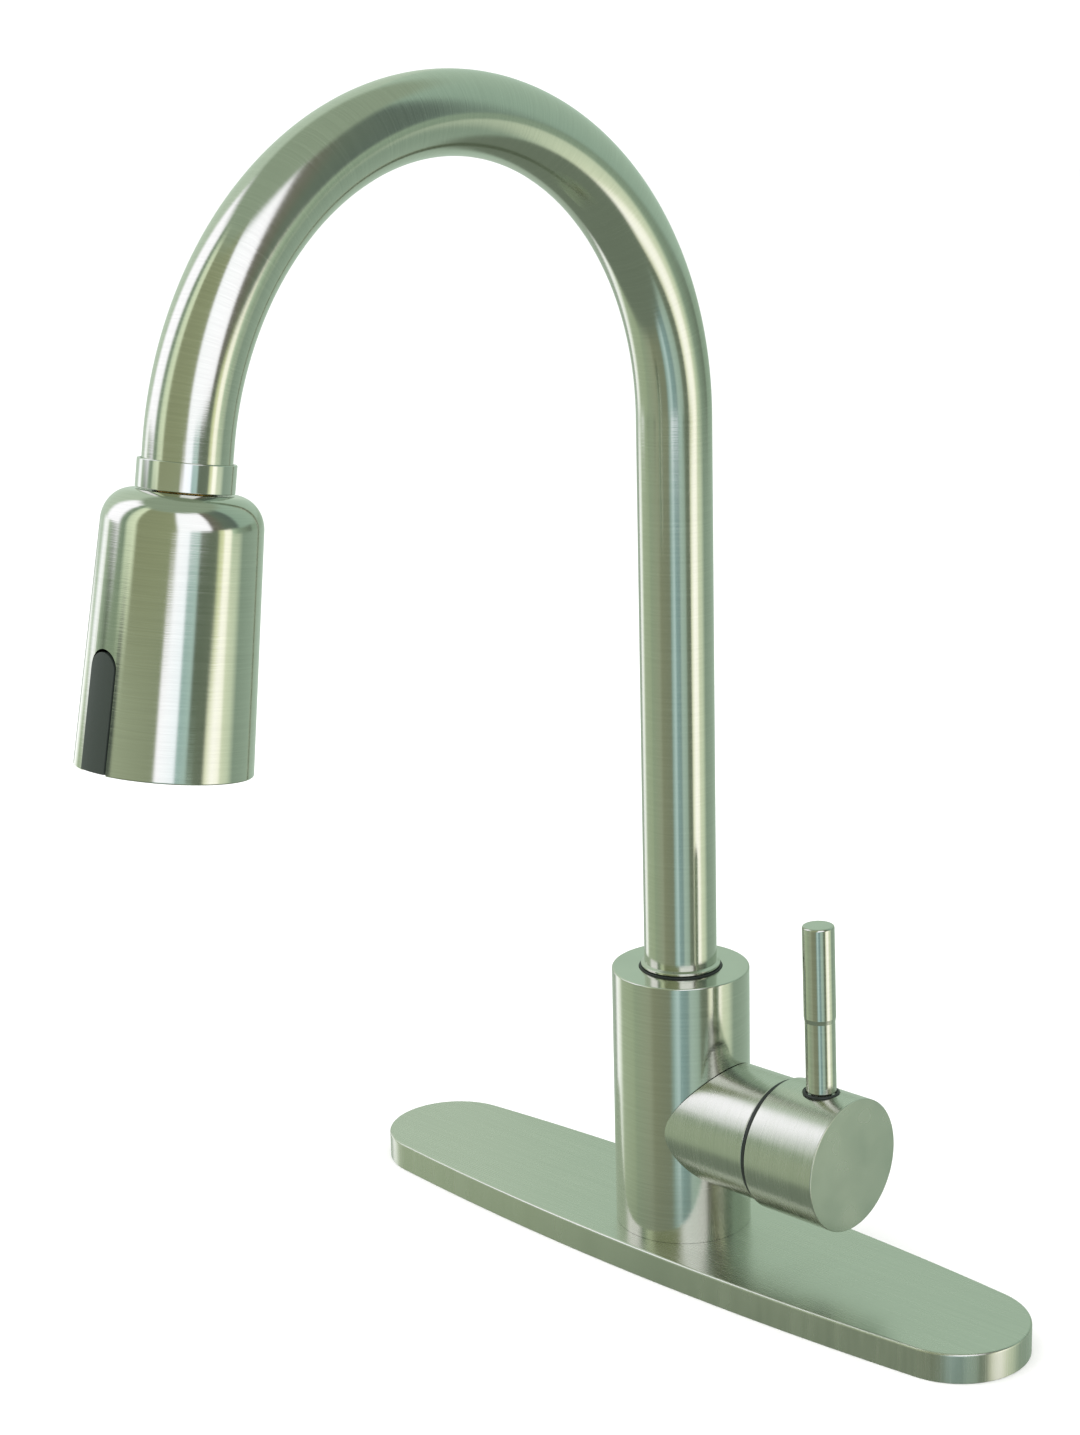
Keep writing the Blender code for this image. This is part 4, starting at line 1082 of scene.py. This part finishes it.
def studio_paint():
    """Glowing paint of the studio wall: rows of colour ramps round it, one over another."""
    material = bpy.data.materials.new("studio_paint")
    material.use_nodes = True
    tree = material.node_tree
    tree.nodes.clear()
    place = add_node(tree, "ShaderNodeTexCoord").outputs["Object"]
    centred = add_node(tree, "ShaderNodeVectorMath", {0: place, 1: WALL_CENTRE}, operation="SUBTRACT")
    part = add_node(tree, "ShaderNodeSeparateXYZ", {0: centred.outputs[0]})
    height = part.outputs[2]
    back = add_node(tree, "ShaderNodeMath", {0: part.outputs[1], 1: -1.0}, operation="MULTIPLY")
    azimuth = add_node(tree, "ShaderNodeMath", {0: part.outputs[0], 1: back.outputs[0]}, operation="ARCTAN2")
    turned = add_node(tree, "ShaderNodeMath", {0: azimuth.outputs[0], 1: CAMERA_AZIMUTH}, operation="SUBTRACT")
    wrapped = add_node(tree, "ShaderNodeMath", {0: turned.outputs[0], 1: pi, 2: -pi}, operation="WRAP")
    limits = {"Value": wrapped.outputs[0], "From Min": -pi, "From Max": pi}
    round_wall = add_node(tree, "ShaderNodeMapRange", limits)
    colour = seen_in_nickel(FLOOR_COLOUR)
    for bands, start, end in WALL_ROWS:
        above = seen_in_nickel(TOP_COLOUR)
        if bands:
            row = add_node(tree, "ShaderNodeValToRGB", {0: round_wall.outputs[0]})
            fill_ramp(row.color_ramp, bands)
            above = row.outputs[0]
        limits = {"Value": height, "From Min": start, "From Max": end}
        rise = add_node(tree, "ShaderNodeMapRange", limits, interpolation_type="SMOOTHSTEP")
        ends = {0: rise.outputs[0], 6: colour, 7: above}
        colour = add_node(tree, "ShaderNodeMix", ends, data_type="RGBA").outputs[2]
    glow = add_node(tree, "ShaderNodeEmission", {"Color": colour, "Strength": 1.0})
    add_node(tree, "ShaderNodeOutputMaterial", {"Surface": glow.outputs[0]})
    material.cycles.emission_sampling = "NONE"
    return material


def build_wall():
    """Round studio wall that only reflections show."""
    shape = bmesh.new()
    middle = Matrix.Translation(WALL_CENTRE + Vector((0, 0, (WALL_LOW + WALL_HIGH) / 2)))
    bmesh.ops.create_cone(
        shape,
        cap_ends=False,
        segments=128,
        radius1=WALL_RADIUS,
        radius2=WALL_RADIUS,
        depth=WALL_HIGH - WALL_LOW,
        matrix=middle,
    )
    wall = add_object("studio_wall", shape, studio_paint())
    wall.visible_camera = wall.visible_diffuse = wall.visible_shadow = False
    wall.visible_transmission = wall.visible_volume_scatter = False


def build_world():
    """Even white light, with the studio's ceiling and floor above and below the wall in reflections."""
    world = bpy.data.worlds.new("studio")
    bpy.context.scene.world = world
    world.use_nodes = True
    tree = world.node_tree
    tree.nodes.clear()
    way = add_node(tree, "ShaderNodeTexCoord").outputs["Generated"]
    part = add_node(tree, "ShaderNodeSeparateXYZ", {0: way})
    limits = {"Value": part.outputs[2], "From Min": -0.1, "From Max": 0.1}
    upward = add_node(tree, "ShaderNodeMapRange", limits, interpolation_type="SMOOTHSTEP")
    ends = {0: upward.outputs[0], 6: seen_in_nickel(FLOOR_COLOUR), 7: seen_in_nickel(TOP_COLOUR)}
    colour = add_node(tree, "ShaderNodeMix", ends, data_type="RGBA").outputs[2]
    mirrored = add_node(tree, "ShaderNodeBackground", {"Color": colour, "Strength": 1.0})
    backdrop = bpy.context.scene.faucet_stage.backdrop
    plain = add_node(tree, "ShaderNodeBackground", {"Color": (*backdrop, 1), "Strength": 1.12})
    ray = add_node(tree, "ShaderNodeLightPath").outputs["Is Glossy Ray"]
    mix = add_node(tree, "ShaderNodeMixShader", {0: ray, 1: plain.outputs[0], 2: mirrored.outputs[0]})
    add_node(tree, "ShaderNodeOutputWorld", {"Surface": mix.outputs[0]})


def build_floor():
    """Plain pale floor, matt, which the metal doesn't mirror."""
    stage = bpy.context.scene.faucet_stage
    shape = bmesh.new()
    level = Matrix.Translation((0, 0, -0.2 * MM))
    bmesh.ops.create_circle(shape, cap_ends=True, segments=96, radius=6.0, matrix=level)
    # Painted board: matt, with the faintest mottling
    paint = grained("painted_board", stage.floor, 5 * MM, 0.9, 0.01 * MM, 0.004)
    floor = add_object("floor", shape, paint)
    floor.visible_glossy = False


def add_light(name, place, size, power):
    """Square soft light that faces the faucet and doesn't show in the metal."""
    light = bpy.data.lights.new(name, "AREA")
    light.size = size
    light.energy = power
    lamp = bpy.data.objects.new(name, light)
    lamp.location = place
    aim = Vector((0, -0.05, 0.12)) - Vector(place)
    lamp.rotation_euler = aim.to_track_quat("-Z", "Y").to_euler()
    lamp.visible_glossy = False
    bpy.context.scene.collection.objects.link(lamp)


def build_camera():
    """Camera at the front right, a little above the spout's middle, with a slight roll."""
    level = cos(CAMERA_ELEVATION)
    back = Vector((sin(CAMERA_AZIMUTH) * level, -cos(CAMERA_AZIMUTH) * level, sin(CAMERA_ELEVATION)))
    right = (-back).cross(Vector((0, 0, 1))).normalized()
    up = right.cross(-back)
    rolled = right * cos(CAMERA_ROLL) + up * sin(CAMERA_ROLL)
    upright = up * cos(CAMERA_ROLL) - right * sin(CAMERA_ROLL)
    camera = bpy.data.objects.new("camera", bpy.data.cameras.new("camera"))
    camera.data.lens = bpy.context.scene.faucet_stage.lens
    camera.data.sensor_width = 36
    camera.data.clip_start = 0.01
    turn = Matrix((rolled, upright, back)).transposed().to_4x4()
    camera.matrix_world = Matrix.Translation(CAMERA_TARGET + back * CAMERA_DISTANCE) @ turn
    bpy.context.scene.collection.objects.link(camera)
    bpy.context.scene.camera = camera


# ---------------------------------------------------------------- operators


class FAUCET_OT_stage(bpy.types.Operator):
    """Makes the floor, the studio, the lights and the camera"""

    bl_idname = "faucet.stage"
    bl_label = "Stage"

    def execute(self, context):
        stage = context.scene.faucet_stage
        context.scene.view_settings.view_transform = "Standard"
        build_camera()
        build_world()
        build_wall()
        build_floor()
        add_light("key", (-0.9, -1.1, 1.7), 1.4, stage.key_power)
        add_light("fill", (1.5, -0.4, 1.3), 1.2, stage.fill_power)
        return {"FINISHED"}


class FAUCET_OT_inner_parts(bpy.types.Operator):
    """Gives the pieces inside the faucet their finishes"""

    bl_idname = "faucet.inner_parts"
    bl_label = "Inner parts"

    def execute(self, context):
        finish_kept_nodes()
        return {"FINISHED"}


class FAUCET_OT_deck_plate(bpy.types.Operator):
    """Makes the deck plate"""

    bl_idname = "faucet.deck_plate"
    bl_label = "Deck plate"

    def execute(self, context):
        build_deck_plate()
        return {"FINISHED"}


class FAUCET_OT_body(bpy.types.Operator):
    """Makes the upright body with its ring, and the valve drum on its side"""

    bl_idname = "faucet.body"
    bl_label = "Body"

    def execute(self, context):
        build_body()
        build_housing()
        return {"FINISHED"}


class FAUCET_OT_handle(bpy.types.Operator):
    """Makes the handle hub, the lever and its ring"""

    bl_idname = "faucet.handle"
    bl_label = "Handle"

    def execute(self, context):
        build_hub()
        build_lever()
        return {"FINISHED"}


class FAUCET_OT_spout(bpy.types.Operator):
    """Makes the gooseneck, the docking collar and the hose"""

    bl_idname = "faucet.spout"
    bl_label = "Spout"

    def execute(self, context):
        build_spout()
        build_ferrule()
        build_collar()
        build_hose()
        return {"FINISHED"}


class FAUCET_OT_spray_head(bpy.types.Operator):
    """Makes the spray head's shell, button and spray face"""

    bl_idname = "faucet.spray_head"
    bl_label = "Spray head"

    def execute(self, context):
        build_spray_shell()
        build_rocker()
        build_spray_face()
        return {"FINISHED"}


class FAUCET_OT_fixing(bpy.types.Operator):
    """Makes the shank, the washers and the nut under the deck"""

    bl_idname = "faucet.fixing"
    bl_label = "Fixing"

    def execute(self, context):
        build_shank()
        build_clamp()
        return {"FINISHED"}


OPERATORS = (
    FAUCET_OT_stage,
    FAUCET_OT_inner_parts,
    FAUCET_OT_deck_plate,
    FAUCET_OT_body,
    FAUCET_OT_handle,
    FAUCET_OT_spout,
    FAUCET_OT_spray_head,
    FAUCET_OT_fixing,
)


class FAUCET_PT_panel(bpy.types.Panel):
    """Lists the faucet's operators"""

    bl_idname = "FAUCET_PT_panel"
    bl_label = "Faucet"
    bl_space_type = "VIEW_3D"
    bl_region_type = "UI"
    bl_category = "Faucet"

    def draw(self, context):
        for operator in OPERATORS:
            self.layout.operator(operator.bl_idname)


CLASSES = (FaucetSizes, FaucetFinishes, FaucetStage, *OPERATORS, FAUCET_PT_panel)


def register():
    for item in CLASSES:
        bpy.utils.register_class(item)
    bpy.types.Scene.faucet_sizes = PointerProperty(type=FaucetSizes)
    bpy.types.Scene.faucet_finishes = PointerProperty(type=FaucetFinishes)
    bpy.types.Scene.faucet_stage = PointerProperty(type=FaucetStage)


def unregister():
    del bpy.types.Scene.faucet_stage
    del bpy.types.Scene.faucet_finishes
    del bpy.types.Scene.faucet_sizes
    for item in reversed(CLASSES):
        bpy.utils.unregister_class(item)


def main():
    """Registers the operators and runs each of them."""
    register()
    bpy.ops.faucet.stage()
    bpy.ops.faucet.inner_parts()
    bpy.ops.faucet.deck_plate()
    bpy.ops.faucet.body()
    bpy.ops.faucet.handle()
    bpy.ops.faucet.spout()
    bpy.ops.faucet.spray_head()
    bpy.ops.faucet.fixing()


if __name__ == "__main__":
    main()
